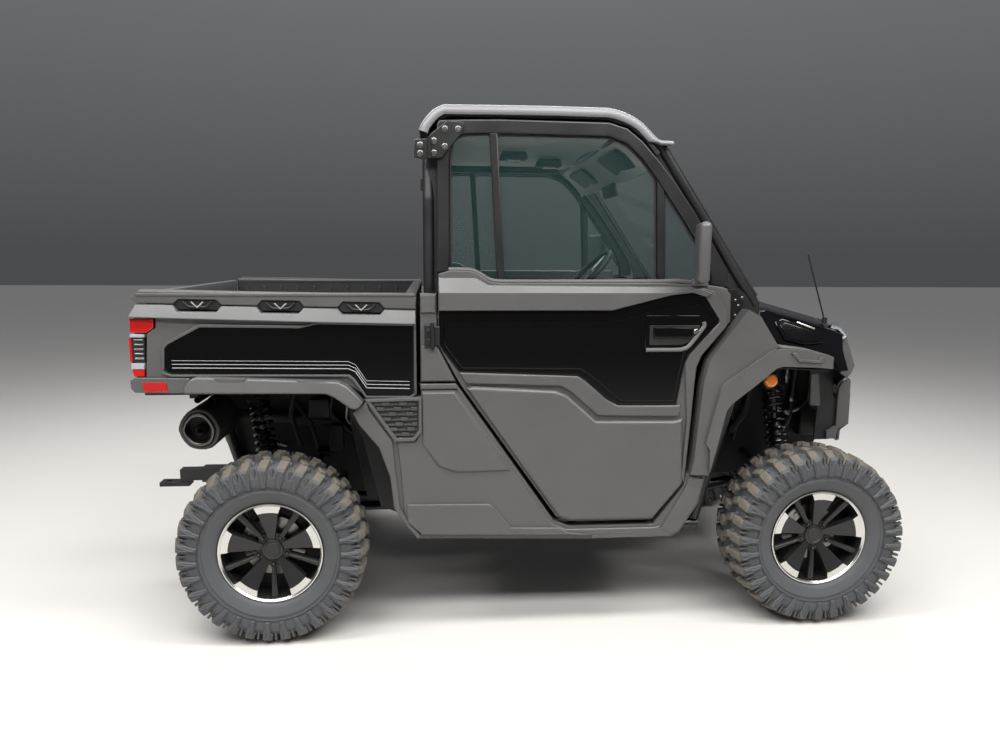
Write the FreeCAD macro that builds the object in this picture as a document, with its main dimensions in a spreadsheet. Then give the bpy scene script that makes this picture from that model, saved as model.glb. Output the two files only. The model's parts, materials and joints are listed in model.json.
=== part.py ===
import FreeCAD, Part
import math
import os
import re
import Sketcher

os.makedirs("parts", exist_ok=True)

doc = FreeCAD.newDocument("side_by_side")
Vector = FreeCAD.Vector
Placement = FreeCAD.Placement
Rotation = FreeCAD.Rotation

# Frame: +X forward, +Y to the vehicle's left, +Z up, ground at zero, millimetres.
# Widths are measured from the middle plane, and right-hand pieces are mirrored to the left.

SIZES = {
    # wheels
    "rear_axle_x": -880,
    "wheelbase": 2054,
    "wheel_y": 674,
    "tyre_radius": 343,
    "tyre_width": 254,
    "lug_depth": 19,
    "lug_pitches": 30,
    "lug_gap": 6,
    "rim_radius": 193,
    "rim_lip": 9,
    "rim_width": 190,
    "rim_wall": 6,
    "bead_gap": 0.3,
    "hub_radius": 62,
    "hub_bore_radius": 18,
    "kingpin_y": 560,
    "knuckle_half": 90,
    "arm_inner_y": 278,
    "arm_eye": 17,
    "arm_lower_z": 452,
    "arm_upper_z": 580,
    "shock_top_y": 340,
    "shock_low_y": 470,
    "shock_low_z": 530,
    # widths from the middle plane
    "skin_y": 750,
    "frame_y": 700,
    "rail_y": 732,
    "flare_y": 790,
    "pillar_y": 668,
    "roof_rail_y": 640,
    "cab_half": 640,
    "rear_frame_y": 300,
    "lower_rail_y": 240,
    # heights
    "rocker_z": 358,
    "sill_z": 436,
    "belt_z": 1326,
    "frame_top_z": 1870,
    "roof_z": 1921,
    "cowl_z": 1225,
    "bed_floor_z": 925,
    "bed_rail_z": 1281,
    "bed_frame_z": 886,
    "skid_z": 335,
    "seat_z": 800,
    # lengths
    "door_rear_x": -277,
    "door_front_x": 790,
    "pillar_x": -305,
    "bed_front_x": -355,
    "bed_rear_x": -1300,
    "nose_x": 1517,
    "hitch_x": -1517,
    "pillar_foot_x": 915,
    "pillar_top_x": 530,
    # walls and tubes
    "door_wall": 60,
    "door_frame_wall": 30,
    "glass_wall": 5,
    "insert_wall": 4,
    "bed_wall": 25,
    "panel_wall": 8,
    "roof_wall": 33,
    "cage_radius": 20,
    "frame_radius": 22,
    "brace_radius": 17,
    "seat_gap": 0.3,
    "hinge_radius": 9,
    "hinge_pin_radius": 5,
    "hinge_out": 8,
    "running_gap": 0.05,
    "hood_pin_x": 968,
    "hood_pin_z": 1212,
    "ball_hole_radius": 13,
    "gate_pin_x": -1322,
    "gate_pin_z": 943,
    # steering wheel centre
    "steer_x": 470,
    "steer_y": 345,
    "steer_z": 1305,
}

sheet = doc.addObject("Spreadsheet::Sheet", "Sizes")
for row, (alias, value) in enumerate(SIZES.items(), start=1):
    sheet.set(f"A{row}", alias)
    sheet.set(f"B{row}", str(value))
    sheet.setAlias(f"B{row}", alias)
doc.recompute()

NODES = {}


def size(text):
    """The value of an expression of sheet cells."""
    return float(sheet.evalExpression(str(text)))


def cells(text):
    """The same expression as other objects write it."""
    return re.sub(r"[a-z]\w+", lambda word: "Sizes." + word[0] if word[0] in SIZES else word[0], str(text))


def keep(label, obj):
    """Register a finished sub-part under the name of its file."""
    obj.Label = label
    NODES[label] = obj
    return obj


def origin_plane(body, role):
    return next(feature for feature in body.Origin.OriginFeatures if feature.Role == role)


def sketch(body, name, plane, loops, offset="0"):
    """Closed outlines on an origin plane, each corner placed by its own two dimensions."""
    drawing = body.newObject("Sketcher::SketchObject", name)
    drawing.AttachmentSupport = [(origin_plane(body, plane + "_Plane"), "")]
    drawing.MapMode = "FlatFace"
    drawing.AttachmentOffset = Placement(Vector(0, 0, size(offset)), Rotation())
    drawing.setExpression("AttachmentOffset.Base.z", cells(offset))
    for loop in loops:
        corners = [Vector(size(across), size(up), 0) for across, up in loop]
        first = len(drawing.Geometry)
        count = len(corners)
        for i, corner in enumerate(corners):
            drawing.addGeometry(Part.LineSegment(corner, corners[(i + 1) % count]), False)
        for i, (across, up) in enumerate(loop):
            follower = first + (i + 1) % count
            drawing.addConstraint(Sketcher.Constraint("Coincident", first + i, 2, follower, 1))
            place_point(drawing, first + i, 1, across, up)
    return drawing


def place_point(drawing, index, end, across, up):
    for kind, text in (("DistanceX", across), ("DistanceY", up)):
        rule = drawing.addConstraint(Sketcher.Constraint(kind, -1, 1, index, end, size(text)))
        drawing.setExpression(f"Constraints[{rule}]", cells(text))


def pad(body, name, plane, loops, start, length, both=False):
    drawing = sketch(body, name + "_outline", plane, loops, start)
    feature = body.newObject("PartDesign::Pad", name)
    feature.Profile = drawing
    feature.Length = size(length)
    feature.setExpression("Length", cells(length))
    feature.Midplane = both
    body.Tip = feature
    return feature


def pocket(body, name, plane, loops, start, length):
    """Cut between start and start + length along the plane's normal."""
    drawing = sketch(body, name + "_outline", plane, loops, f"{start} + {length}")
    feature = body.newObject("PartDesign::Pocket", name)
    feature.Profile = drawing
    feature.Length = size(length)
    feature.setExpression("Length", cells(length))
    body.Tip = feature
    return feature


def loft(body, name, plane, sections):
    """A ruled skin through outlines with the same count of corners, each at its own offset."""
    drawings = [sketch(body, f"{name}_{i}", plane, [loop], offset) for i, (offset, loop) in enumerate(sections)]
    feature = body.newObject("PartDesign::AdditiveLoft", name)
    feature.Profile = drawings[0]
    feature.Sections = drawings[1:]
    feature.Ruled = True
    body.Tip = feature
    return feature


def new_body(name):
    return doc.addObject("PartDesign::Body", name)


def box(name, x, y, z):
    """A box between two expressions on each axis."""
    block = doc.addObject("Part::Box", name)
    for prop, axis, (low, high) in (("Length", "x", x), ("Width", "y", y), ("Height", "z", z)):
        block.setExpression(prop, cells(f"({high}) - ({low})"))
        block.setExpression(f"Placement.Base.{axis}", cells(low))
    return block


def rod(name, start, end, radius):
    """A round bar between two points given as expressions."""
    first = Vector(*map(size, start))
    run = Vector(*map(size, end)) - first
    bar = doc.addObject("Part::Cylinder", name)
    bar.setExpression("Radius", cells(radius))
    bar.Height = run.Length
    bar.Placement = Placement(first, Rotation(Vector(0, 0, 1), run))
    return bar


def bent_path(points, bend):
    """Straight runs joined by tangent arcs."""
    corners = [Vector(*map(size, point)) for point in points]
    edges = []
    start = corners[0]
    for before, corner, after in zip(corners, corners[1:], corners[2:]):
        back = (before - corner).normalize()
        ahead = (after - corner).normalize()
        half = back.getAngle(ahead) / 2
        trim = size(bend) / math.tan(half)
        enter = corner + back * trim
        leave = corner + ahead * trim
        bisector = (back + ahead).normalize()
        middle = corner + bisector * (size(bend) / math.sin(half) - size(bend))
        edges.append(Part.LineSegment(start, enter).toShape())
        edges.append(Part.Arc(enter, middle, leave).toShape())
        start = leave
    edges.append(Part.LineSegment(start, corners[-1]).toShape())
    return Part.Wire(edges)


def tube(name, points, radius, bend="60"):
    """A round tube swept along straight runs and bends."""
    path = doc.addObject("Part::Feature", name + "_path")
    path.Shape = bent_path(points, bend)
    start = path.Shape.Edges[0]
    ring = doc.addObject("Part::Circle", name + "_ring")
    ring.setExpression("Radius", cells(radius))
    ring.Placement = Placement(start.valueAt(start.FirstParameter), Rotation(Vector(0, 0, 1), start.tangentAt(0)))
    sweep = doc.addObject("Part::Sweep", name)
    sweep.Sections = [ring]
    sweep.Spine = (path, [f"Edge{i + 1}" for i in range(len(path.Shape.Edges))])
    sweep.Solid = True
    sweep.Frenet = False
    return sweep


def fuse(name, pieces):
    union = doc.addObject("Part::MultiFuse", name)
    union.Shapes = pieces
    return union


def cut(name, base, tool):
    result = doc.addObject("Part::Cut", name)
    result.Base = base
    result.Tool = tool
    return result


def common(name, pieces):
    result = doc.addObject("Part::MultiCommon", name)
    result.Shapes = pieces
    return result


def mirrored(name, source):
    copy = doc.addObject("Part::Mirroring", name)
    copy.Source = source
    copy.Normal = Vector(0, 1, 0)
    return copy


def group(name, pieces):
    """Solids that stand apart but share a node."""
    compound = doc.addObject("Part::Compound", name)
    compound.Links = pieces
    return compound


def both_sides(name, source):
    return group(name, [source, mirrored(name + "_left_half", source)])


def left(x, y, z):
    return (x, y, z)


def right(x, y, z):
    return (x, f"-({y})", z)


FRONT_AXLE = "rear_axle_x + wheelbase"
LOW_Z = "skid_z + panel_wall + 2 + frame_radius"
DECK_Z = "bed_frame_z - frame_radius - 4"
AXLE_Z = size("tyre_radius") * math.cos(math.pi / (2 * size("lug_pitches")))


def flat_face(points):
    return Part.Face(Part.makePolygon(points + points[:1]))


def tyre_shape():
    """Carcass and staggered shoulder lugs as flat faces, its axis along Y."""
    steps = int(2 * size("lug_pitches"))
    radius = size("tyre_radius")
    base = radius - size("lug_depth")
    half = size("tyre_width / 2")
    bead_half = size("rim_width / 2") - size("rim_lip") - 4
    seat = size("rim_radius + bead_gap") / math.cos(2 * math.pi / steps)
    shoulder_half = half * 0.84
    shoulder_drop = 7
    fade_radius = radius * 0.86
    inner = size("lug_gap")
    tread = (inner, radius), (shoulder_half, radius - shoulder_drop), (half, fade_radius)
    groove = (inner, base), (shoulder_half, base - shoulder_drop), (half, fade_radius)

    def point(step, y, r):
        turn = 2 * math.pi * (step - 0.5) / steps
        return Vector(r * math.sin(turn), y, -r * math.cos(turn))

    faces = []
    for side in (-1, 1):
        for step in range(steps):
            raised = (step + (side > 0)) % 2 == 0
            profile = tread if raised else groove
            for (y0, r0), (y1, r1) in zip(profile, profile[1:]):
                faces.append(flat_face([
                    point(step, side * y0, r0), point(step + 1, side * y0, r0),
                    point(step + 1, side * y1, r1), point(step, side * y1, r1)]))
            wall = [point(step, side * y, r) for y, r in tread]
            wall += [point(step, side * y, r) for y, r in reversed(groove[:2])]
            faces.append(flat_face(wall))
            if raised:
                faces.append(flat_face([
                    point(step, side * inner, base), point(step + 1, side * inner, base),
                    point(step + 1, side * inner, radius), point(step, side * inner, radius)]))
        bead = side * bead_half
        outer = side * half
        for step in range(0, steps, 2):
            fade = [point(step + i, outer, fade_radius) for i in range(3)]
            low = [point(step + i, bead, seat) for i in (0, 2)]
            faces.append(flat_face([fade[0], fade[1], low[0]]))
            faces.append(flat_face([fade[1], low[1], low[0]]))
            faces.append(flat_face([fade[1], fade[2], low[1]]))
    for step in range(steps):
        faces.append(flat_face([
            point(step, -inner, base), point(step + 1, -inner, base),
            point(step + 1, inner, base), point(step, inner, base)]))
    for step in range(0, steps, 2):
        faces.append(flat_face([
            point(step, -bead_half, seat), point(step + 2, -bead_half, seat),
            point(step + 2, bead_half, seat), point(step, bead_half, seat)]))
    shell = Part.Shell(faces)
    shell.sewShape()
    return Part.Solid(shell)


def prism(name, radius, start, length):
    """A drum of the wheel with flat facets in step with the tyre's."""
    drum = doc.addObject("Part::Prism", name)
    drum.Polygon = int(size("lug_pitches"))
    turn = math.pi / size("lug_pitches")
    drum.setExpression("Circumradius", cells(radius))
    drum.setExpression("Height", cells(length))
    roll = Rotation(Vector(0, 1, 0), math.degrees(turn))
    drum.Placement = Placement(Vector(0, size(start), 0), roll * Rotation(Vector(1, 0, 0), -90))
    return drum


def make_wheel(label, x, y, outward):
    """Rim and tyre of one wheel, outward +1 when its face looks to +Y."""
    turned = Rotation(Vector(0, 0, 1), 0 if outward > 0 else 180)
    place = Placement(Vector(size(x), size(y), AXLE_Z), turned)
    tyre = doc.addObject("Part::Feature", "tyre_" + label)
    tyre.Shape = tyre_shape()
    tyre.Placement = place
    keep("tyre_" + label, tyre)

    half = "rim_width / 2"
    name = "rim_" + label
    drum = prism(name + "_drum", "rim_radius", f"-({half})", "rim_width")
    hollow = prism(name + "_hollow", "rim_radius - rim_wall", f"-({half}) - 1", "rim_width + 2")
    lips = [
        prism(name + "_outer_lip", "rim_radius + rim_lip", f"{half} - rim_lip + seat_gap", "rim_lip - seat_gap"),
        prism(name + "_inner_lip", "rim_radius + rim_lip", f"-({half})", "rim_lip - seat_gap"),
    ]
    barrel = cut(name + "_barrel", fuse(name + "_blank", [drum] + lips), hollow)
    disc = prism(name + "_disc", "rim_radius - rim_wall + 2", "rim_width / 2 - 38", "18")
    hub = doc.addObject("Part::Cylinder", name + "_hub")
    bound_cylinder(hub, "hub_radius", "rim_width / 2 - 70", "50")
    bore = doc.addObject("Part::Cylinder", name + "_bore")
    bound_cylinder(bore, "hub_bore_radius", "rim_width / 2 - 71", "40")
    face = cut(name + "_face", fuse(name + "_centre", [disc, hub]), fuse(name + "_cuts", [bore] + windows(name)))
    wheel = fuse(name, [barrel, face])
    wheel.Placement = place
    keep(name, wheel)


def bound_cylinder(cylinder, radius, start, length):
    cylinder.setExpression("Radius", cells(radius))
    cylinder.setExpression("Height", cells(length))
    cylinder.Placement = Placement(Vector(0, size(start), 0), Rotation(Vector(1, 0, 0), -90))


def windows(name):
    """Two openings beside each of the five slim spokes, between the wide ones."""
    result = []
    inner = size("hub_radius + 14")
    outer = size("rim_radius - rim_wall - 14")
    wide_half, slim_half = 0.27, 0.06
    for i in range(5):
        slim = 2 * math.pi * (i + 0.5) / 5
        reach = math.pi / 5 - wide_half
        for j, (first, last) in enumerate(((slim - reach, slim - slim_half), (slim + slim_half, slim + reach))):
            points = [Vector(r * math.sin(turn), size("rim_width / 2 - 60"), r * math.cos(turn))
                      for r, turn in ((inner, first), (outer, first), (outer, last), (inner, last))]
            opening = doc.addObject("Part::Feature", f"{name}_window_{i}_{j}")
            opening.Shape = flat_face(points).extrude(Vector(0, 80, 0))
            result.append(opening)
    return result


def make_wheels():
    for end, x in (("front", FRONT_AXLE), ("rear", "rear_axle_x")):
        make_wheel(end + "_right", x, "-wheel_y", -1)
        make_wheel(end + "_left", x, "wheel_y", 1)


def make_chassis():
    tower_rear = f"{FRONT_AXLE} - 314"
    tower_front = f"{FRONT_AXLE} + 88"
    pieces = []
    for side, place in (("left", left), ("right", right)):
        rail = [
            place(f"{FRONT_AXLE} + 126", "lower_rail_y - 40", "450"),
            place(f"{FRONT_AXLE} - 414", "lower_rail_y", LOW_Z),
            place("rear_axle_x + 260", "lower_rail_y", LOW_Z), place("rear_axle_x - 200", "lower_rail_y", "450"),
            place("rear_axle_x - 300", "rear_frame_y", DECK_Z),
        ]
        rear_hoop = [
            place("pillar_x", "rear_frame_y", LOW_Z), place("pillar_x", "rear_frame_y", DECK_Z),
            place("-1240", "rear_frame_y", DECK_Z),
        ]
        tower = [
            place(tower_rear, "lower_rail_y - 14", "skid_z + 40"), place(tower_rear, "lower_rail_y - 20", "900"),
            place(tower_front, "lower_rail_y - 40", "900"), place(tower_front, "lower_rail_y - 40", "440"),
        ]
        pieces.append(tube(f"lower_rail_{side}", rail, "frame_radius", "70"))
        pieces.append(tube(f"rear_hoop_{side}", rear_hoop, "brace_radius + 2", "60"))
        pieces.append(tube(f"front_tower_{side}", tower, "brace_radius", "50"))
        pieces.append(rod(f"sill_tube_{side}", place("-330", "cab_half", LOW_Z), place("735", "cab_half", LOW_Z),
                          "brace_radius + 2"))
        pieces.append(rod(f"bumper_stay_{side}", place(tower_front, "lower_rail_y - 40", "672"),
                          place("nose_x - 69 - seat_gap", "lower_rail_y - 40", "672"), "brace_radius - 3"))
        for i, (x, z) in enumerate(arm_pivots()):
            pieces.append(box(f"arm_bracket_{side}_{i}", (f"{x} - 26", f"{x} + 26"),
                              side_span(side, "lower_rail_y - 46", "arm_inner_y - arm_eye - seat_gap"),
                              (f"{z} - 16", f"{z} + 16")))
    crosses = [
        ("pillar_x", "cab_half", LOW_Z), ("250", "cab_half", LOW_Z), ("712", "cab_half", LOW_Z),
        (f"{FRONT_AXLE} - 28", "shock_top_y - 20 - seat_gap", "900"),
        (f"{FRONT_AXLE} + 126", "lower_rail_y - 20", "450"),
        ("rear_axle_x - 180", "lower_rail_y", "446"), ("-1235", "rear_frame_y + 56", DECK_Z),
        ("pillar_x", "cab_half", DECK_Z), ("rear_axle_x - 120", "shock_top_y - 20 - seat_gap", DECK_Z),
        *[(f"{axle} {reach}", "lower_rail_y - 30", "arm_upper_z")
          for axle in (FRONT_AXLE, "rear_axle_x") for reach in ("- 130", "+ 130")],
    ]
    for i, (x, half, z) in enumerate(crosses):
        pieces.append(rod(f"chassis_cross_{i + 1}", left(x, half, z), right(x, half, z), "brace_radius - 2"))
    for i, (x, half, z, top) in enumerate([
            (f"{FRONT_AXLE} - 130", "lower_rail_y - 34", "420", "arm_upper_z"),
            (f"{FRONT_AXLE} + 130", "lower_rail_y - 34", "450", "arm_upper_z"),
            ("rear_axle_x + 130", "lower_rail_y - 34", "400", "DECK"),
            ("rear_axle_x - 130", "lower_rail_y - 34", "440", "DECK")]):
        top = top if top != "DECK" else DECK_Z
        for side, place in (("left", left), ("right", right)):
            pieces.append(rod(f"arm_post_{side}_{i}", place(x, half, z), place(x, half, top), "brace_radius - 4"))
    for i, x in enumerate(("-1168", "-1118")):
        pieces.append(rod(f"muffler_hanger_{i}", (x, "-rear_frame_y", "866"), (x, "-560", "866"), "12"))
    pieces.append(rod("rear_cross_low", left("rear_axle_x - 130", "rear_frame_y", DECK_Z),
                      right("rear_axle_x - 130", "rear_frame_y", DECK_Z), "brace_radius - 3"))
    pieces.append(rod("rear_cross_mid", left("rear_axle_x + 130", "rear_frame_y", DECK_Z),
                      right("rear_axle_x + 130", "rear_frame_y", DECK_Z), "brace_radius - 3"))
    pieces.append(box("skid_plate", ("rear_axle_x + 240", f"{FRONT_AXLE} - 294"),
                      ("-lower_rail_y - 60", "lower_rail_y + 60"),
                      ("skid_z", "skid_z + panel_wall + 4")))
    keep("chassis_frame", fuse("chassis_frame_union", pieces))


def side_span(side, inner, outer):
    return (inner, outer) if side == "left" else (f"-({outer})", f"-({inner})")


def arm_pivots():
    """X and Z of each arm's inner eye."""
    return [(f"{x} + {reach}", z) for x in (FRONT_AXLE, "rear_axle_x") for reach in ("-130", "130")
            for z in ("arm_lower_z", "arm_upper_z")]


def make_cage():
    pieces = []
    rail_z = "frame_top_z - 24"
    foot_z = f"{LOW_Z} + brace_radius + 2 + seat_gap"
    for side, place in (("left", left), ("right", right)):
        front = [
            place("722", "cab_half", f"{foot_z} + cage_radius / 4"),
            place("850", "pillar_y - 14", "900"),
            place("pillar_foot_x", "pillar_y - 8", "cowl_z"),
            place("pillar_top_x", "pillar_y - 12", "1795"),
            place("430", "roof_rail_y", rail_z),
            place("60", "roof_rail_y", rail_z),
        ]
        back = [
            place("61", "roof_rail_y", rail_z),
            place("-245", "roof_rail_y", rail_z),
            place("pillar_x", "roof_rail_y", "frame_top_z - 135"),
            place("pillar_x", "pillar_y", "frame_top_z - 270"),
            place("pillar_x", "pillar_y", "900"),
            place("pillar_x", "cab_half", foot_z),
        ]
        pieces.append(tube(f"cage_front_{side}", front, "cage_radius", "45"))
        pieces.append(tube(f"cage_rear_{side}", back, "cage_radius", "45"))
        pieces.append(rod(f"cage_rail_{side}", place("40", "roof_rail_y", rail_z),
                          place("80", "roof_rail_y", rail_z), "cage_radius + 1"))
    for i, (x, half, z) in enumerate([
            ("390", "roof_rail_y", rail_z), ("-225", "roof_rail_y", rail_z), ("pillar_x", "pillar_y", "1290"),
            ("868", "pillar_y - 14", "940")]):
        pieces.append(rod(f"cage_cross_{i + 1}", left(x, half, z), right(x, half, z), "cage_radius - 2"))
    plate = new_body("PillarPlateBody")
    outline = [("door_front_x + 12", "1283"), ("816", "1142"), ("848", "1148"), ("904", "1204"), ("868", "1262"),
               ("836", "1290")]
    pad(plate, "pillar_plate", "XZ", [outline], "pillar_y - 8", "32")
    keep("roll_cage", fuse("roll_cage_union", pieces + [both_sides("pillar_plates", plate)]))


def make_roof():
    body = new_body("RoofBody")
    under = "roof_z - roof_wall"
    slab = [
        ("pillar_x - 32", "roof_z - 90"), ("pillar_x - 12", "roof_z - 54"), ("pillar_x + 21", "roof_z - 18"),
        ("pillar_x + 57", "roof_z - 3"), ("151", "roof_z"), ("329", "roof_z - 2"), ("393", "roof_z - 18"),
        ("449", "roof_z - 46"), ("462", "roof_z - 56"), ("455", "roof_z - 63"), ("413", "roof_z - 46"),
        ("330", under), ("-229", under), ("-271", "roof_z - 55"), ("-290", "roof_z - 94"),
    ]
    visor = [
        ("449", "roof_z - 46"), ("496", "roof_z - 89"), ("516", "roof_z - 110"), ("562", "roof_z - 109"),
        ("563", "roof_z - 126"), ("512", "roof_z - 127"), ("469", "roof_z - 98"), ("440", "roof_z - 71"),
        ("428", "roof_z - 48"),
    ]
    pad(body, "roof_slab", "XZ", [slab], "0", "2 * (frame_y + 6)", both=True)
    pad(body, "visor", "XZ", [visor], "0", "2 * (roof_rail_y - 22)", both=True)
    keep("roof", body)


def make_windshield():
    body = new_body("WindshieldBody")
    top = ("pillar_top_x - 6", "roof_z - 127 - seat_gap")
    foot = ("pillar_foot_x - 12", "cowl_z + 28")
    outline = [top, (f"{top[0]} + glass_wall", f"{top[1]}"), (f"{foot[0]} + glass_wall", foot[1]), foot]
    pad(body, "pane", "XZ", [outline], "0", "2 * (pillar_y - 12 - cage_radius - seat_gap)",
        both=True)
    keep("windshield", body)
    rear = new_body("RearWindowBody")
    sill = "1290 + cage_radius - 2 + seat_gap"
    pane = [("pillar_x - 3", sill), ("pillar_x - 3 + glass_wall", sill),
            ("pillar_x - 3 + glass_wall", "roof_z - 109"), ("pillar_x - 3", "roof_z - 109")]
    pad(rear, "rear_pane", "XZ", [pane], "0", "2 * (roof_rail_y - 45)", both=True)
    keep("rear_window", rear)


def make_cab_shell():
    wall = new_body("CabRearBody")
    half = "skin_y - 12"
    inner = "cab_half - cage_radius - 8"
    floor_z = f"{LOW_Z} + frame_radius + seat_gap"
    wall_x = "pillar_x + brace_radius + 2 + seat_gap"
    centre = [(f"-({inner})", floor_z), (inner, floor_z), (inner, "1262"), (f"-({inner})", "1262")]
    pad(wall, "rear_wall", "YZ", [centre], wall_x, "panel_wall")
    keep("cab_rear_panel", wall)
    corner = new_body("RearCornerBody")
    outline = [("pillar_x - 32", "963"), ("-218", "963"), ("door_rear_x - 7", "1085"), ("door_rear_x - 7", "1272"),
               ("pillar_x - 32", "1272")]
    pad(corner, "corner", "XZ", [outline], "pillar_y + cage_radius + seat_gap",
        f"{half} - pillar_y - cage_radius - seat_gap")
    keep("rear_corners", both_sides("rear_corner_pair", corner))

    floor = new_body("FloorBody")
    front_x = f"{wall_x} + panel_wall + seat_gap"
    side = [
        (front_x, floor_z), ("730", floor_z), ("740", f"{floor_z} + 20"), ("800", "700"), ("852", "1080"),
        ("844", "1082"), ("790", "700"), ("732", f"{floor_z} + 26"), ("724", f"{floor_z} + 10"),
        ("260", f"{floor_z} + 10"), ("240", "seat_z - 90"), ("-130", "seat_z - 90"), ("-130", "seat_z - 100"),
        ("230", "seat_z - 100"), ("250", f"{floor_z} + 10"), (front_x, f"{floor_z} + 10"),
    ]
    pad(floor, "floor_sheet", "XZ", [side], "0", "2 * (cab_half - 30)", both=True)
    keep("floor_tub", floor)

    cowl = new_body("CowlBody")
    outline = [("860", "cowl_z - 80"), ("950", "cowl_z - 60"), ("946", "cowl_z + 2"),
               ("908", "cowl_z + 28 - seat_gap"), ("890", "cowl_z + 28 - seat_gap"), ("860", "cowl_z - 40")]
    pad(cowl, "cowl_bar", "XZ", [outline], "0", "2 * (pillar_y - 14 - cage_radius - seat_gap)", both=True)
    hinge = []
    for side, place in (("left", left), ("right", right)):
        hinge.append(box(f"hood_ear_{side}", ("940", "hood_pin_x + 5"), side_span(side, "526", "536"),
                         ("hood_pin_z - 12", "hood_pin_z")))
        hinge.append(rod(f"hood_pin_{side}", place("hood_pin_x", "498", "hood_pin_z"),
                         place("hood_pin_x", "530", "hood_pin_z"), "5"))
    keep("cowl", fuse("cowl_union", [cowl] + hinge))

    dash = new_body("DashboardBody")
    outline = [("860 - seat_gap", "1100"), ("860 - seat_gap", "cowl_z - 44"), ("700", "cowl_z - 10"),
               ("640", "cowl_z - 60"),
               ("650", "1050"), ("740", "1000")]
    pad(dash, "dash_block", "XZ", [outline], "0", "2 * (cab_half - 30)", both=True)
    column = rod("steering_column", ("steer_x + 24.3", "steer_y", "steer_z - 24.3"),
                 ("steer_x + 230", "steer_y", "steer_z - 230"), "22")
    keep("dashboard", fuse("dashboard_union", [dash, column]))


def make_seats():
    body = new_body("SeatBody")
    base = "seat_z - 90 + seat_gap"
    half = "cab_half - 40"
    cushion = [
        ("-128", base), ("230", base), ("322", "seat_z - 70"), ("350", "seat_z - 30"), ("350", "seat_z + 14"),
        ("322", "seat_z + 38"), ("200", "seat_z + 32"), ("-60", "seat_z + 16"), ("-128", "seat_z + 10"),
    ]
    pad(body, "cushion", "XZ", [cushion], "0", f"2 * ({half})", both=True)
    back = [
        ("-128", base), ("-60", "seat_z"), ("-62", "seat_z + 60"), ("-124", "seat_z + 380"), ("-150", "seat_z + 500"),
        ("-176", "seat_z + 524"), ("-222", "seat_z + 520"), ("-240", "seat_z + 480"), ("-196", "seat_z + 60"),
        ("-180", "seat_z - 60"),
    ]
    pad(body, "backrest", "XZ", [back], "0", f"2 * ({half})", both=True)
    groove = [("-62", "seat_z + 18"), ("360", "seat_z + 18"), ("360", "seat_z + 60"), ("-62", "seat_z + 60")]
    for side, start in (("right", "196"), ("left", "-208")):
        pocket(body, f"cushion_seam_{side}", "XZ", [groove], start, "12")
    keep("seats", body)


def make_engine():
    keep("engine_block", box("engine_block_box", ("-660", "-335"), ("-235", "235"), ("397", "800")))


def make_muffler():
    """Can lying across the rear, its recessed outlet facing the right side."""
    body = new_body("MufflerBody")
    outline = [
        ("-1226", "775"), ("-1178", "854 - seat_gap"), ("-1108", "854 - seat_gap"), ("-1062", "775"), ("-1092", "697"),
        ("-1180", "697"),
    ]
    pad(body, "can", "XZ", [outline], "345", "305")
    recess = [("-1206", "775"), ("-1168", "832"), ("-1118", "832"), ("-1082", "775"), ("-1104", "716"), ("-1169", "716")]
    pocket(body, "outlet_recess", "XZ", [recess], "628", "24")
    outlet = rod("outlet_pipe", ("-1143", "-645", "768"), ("-1143", "-622", "768"), "22")
    pipe_run = [("-1108", "-360", "765"), ("-1072", "-262", "748"), ("-600", "-262", "700")]
    pipe = tube("exhaust_pipe", pipe_run, "24", "40")
    keep("muffler", fuse("muffler_union", [body, outlet, pipe]))


def make_hitch():
    centre = "422"
    tube_half = "32"
    inside = "25.5"
    receiver = cut("receiver", box("receiver_outer", ("-1330", "-1075 - seat_gap"), (f"-{tube_half}", tube_half),
                                   (f"{centre} - {tube_half}", f"{centre} + {tube_half}")),
                   box("receiver_bore", ("-1331", "-1074"), (f"-{inside}", inside),
                       (f"{centre} - {inside}", f"{centre} + {inside}")))
    shank = f"{inside} - seat_gap"
    tongue = box("tongue", ("hitch_x + 90", "-1160"), (f"-({shank})", shank),
                 (f"{centre} - ({shank})", f"{centre} + {shank}"))
    drop = box("drop", ("hitch_x + 90", "hitch_x + 130"), (f"-({shank})", shank), ("372", centre))
    ball_plate = box("ball_plate", ("hitch_x", "hitch_x + 130"), ("-30", "30"), ("372", "390"))
    hole = rod("ball_hole", ("hitch_x + 34", "0", "360"), ("hitch_x + 34", "0", "400"), "ball_hole_radius")
    draw = cut("drop_tongue", fuse("tongue_union", [tongue, drop, ball_plate]), hole)
    keep("hitch", group("hitch_parts", [receiver, draw]))


# How far the front stands back from nose_x at each half width.
NOSE_PLAN = [("0", "0"), ("240", "10"), ("360", "38"), ("450", "66"), ("520", "100"), ("556", "124")]


def around_nose(body, name, section, reach):
    """Sweep a side outline round the nose, out to the station number reach on both sides."""
    stations = [(f"-{half}", back) for half, back in reversed(NOSE_PLAN[1:reach])] + NOSE_PLAN[:reach]
    loft(body, name, "XZ", [(half, [(f"{x} - {back}", z) for x, z in section]) for half, back in stations])


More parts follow.
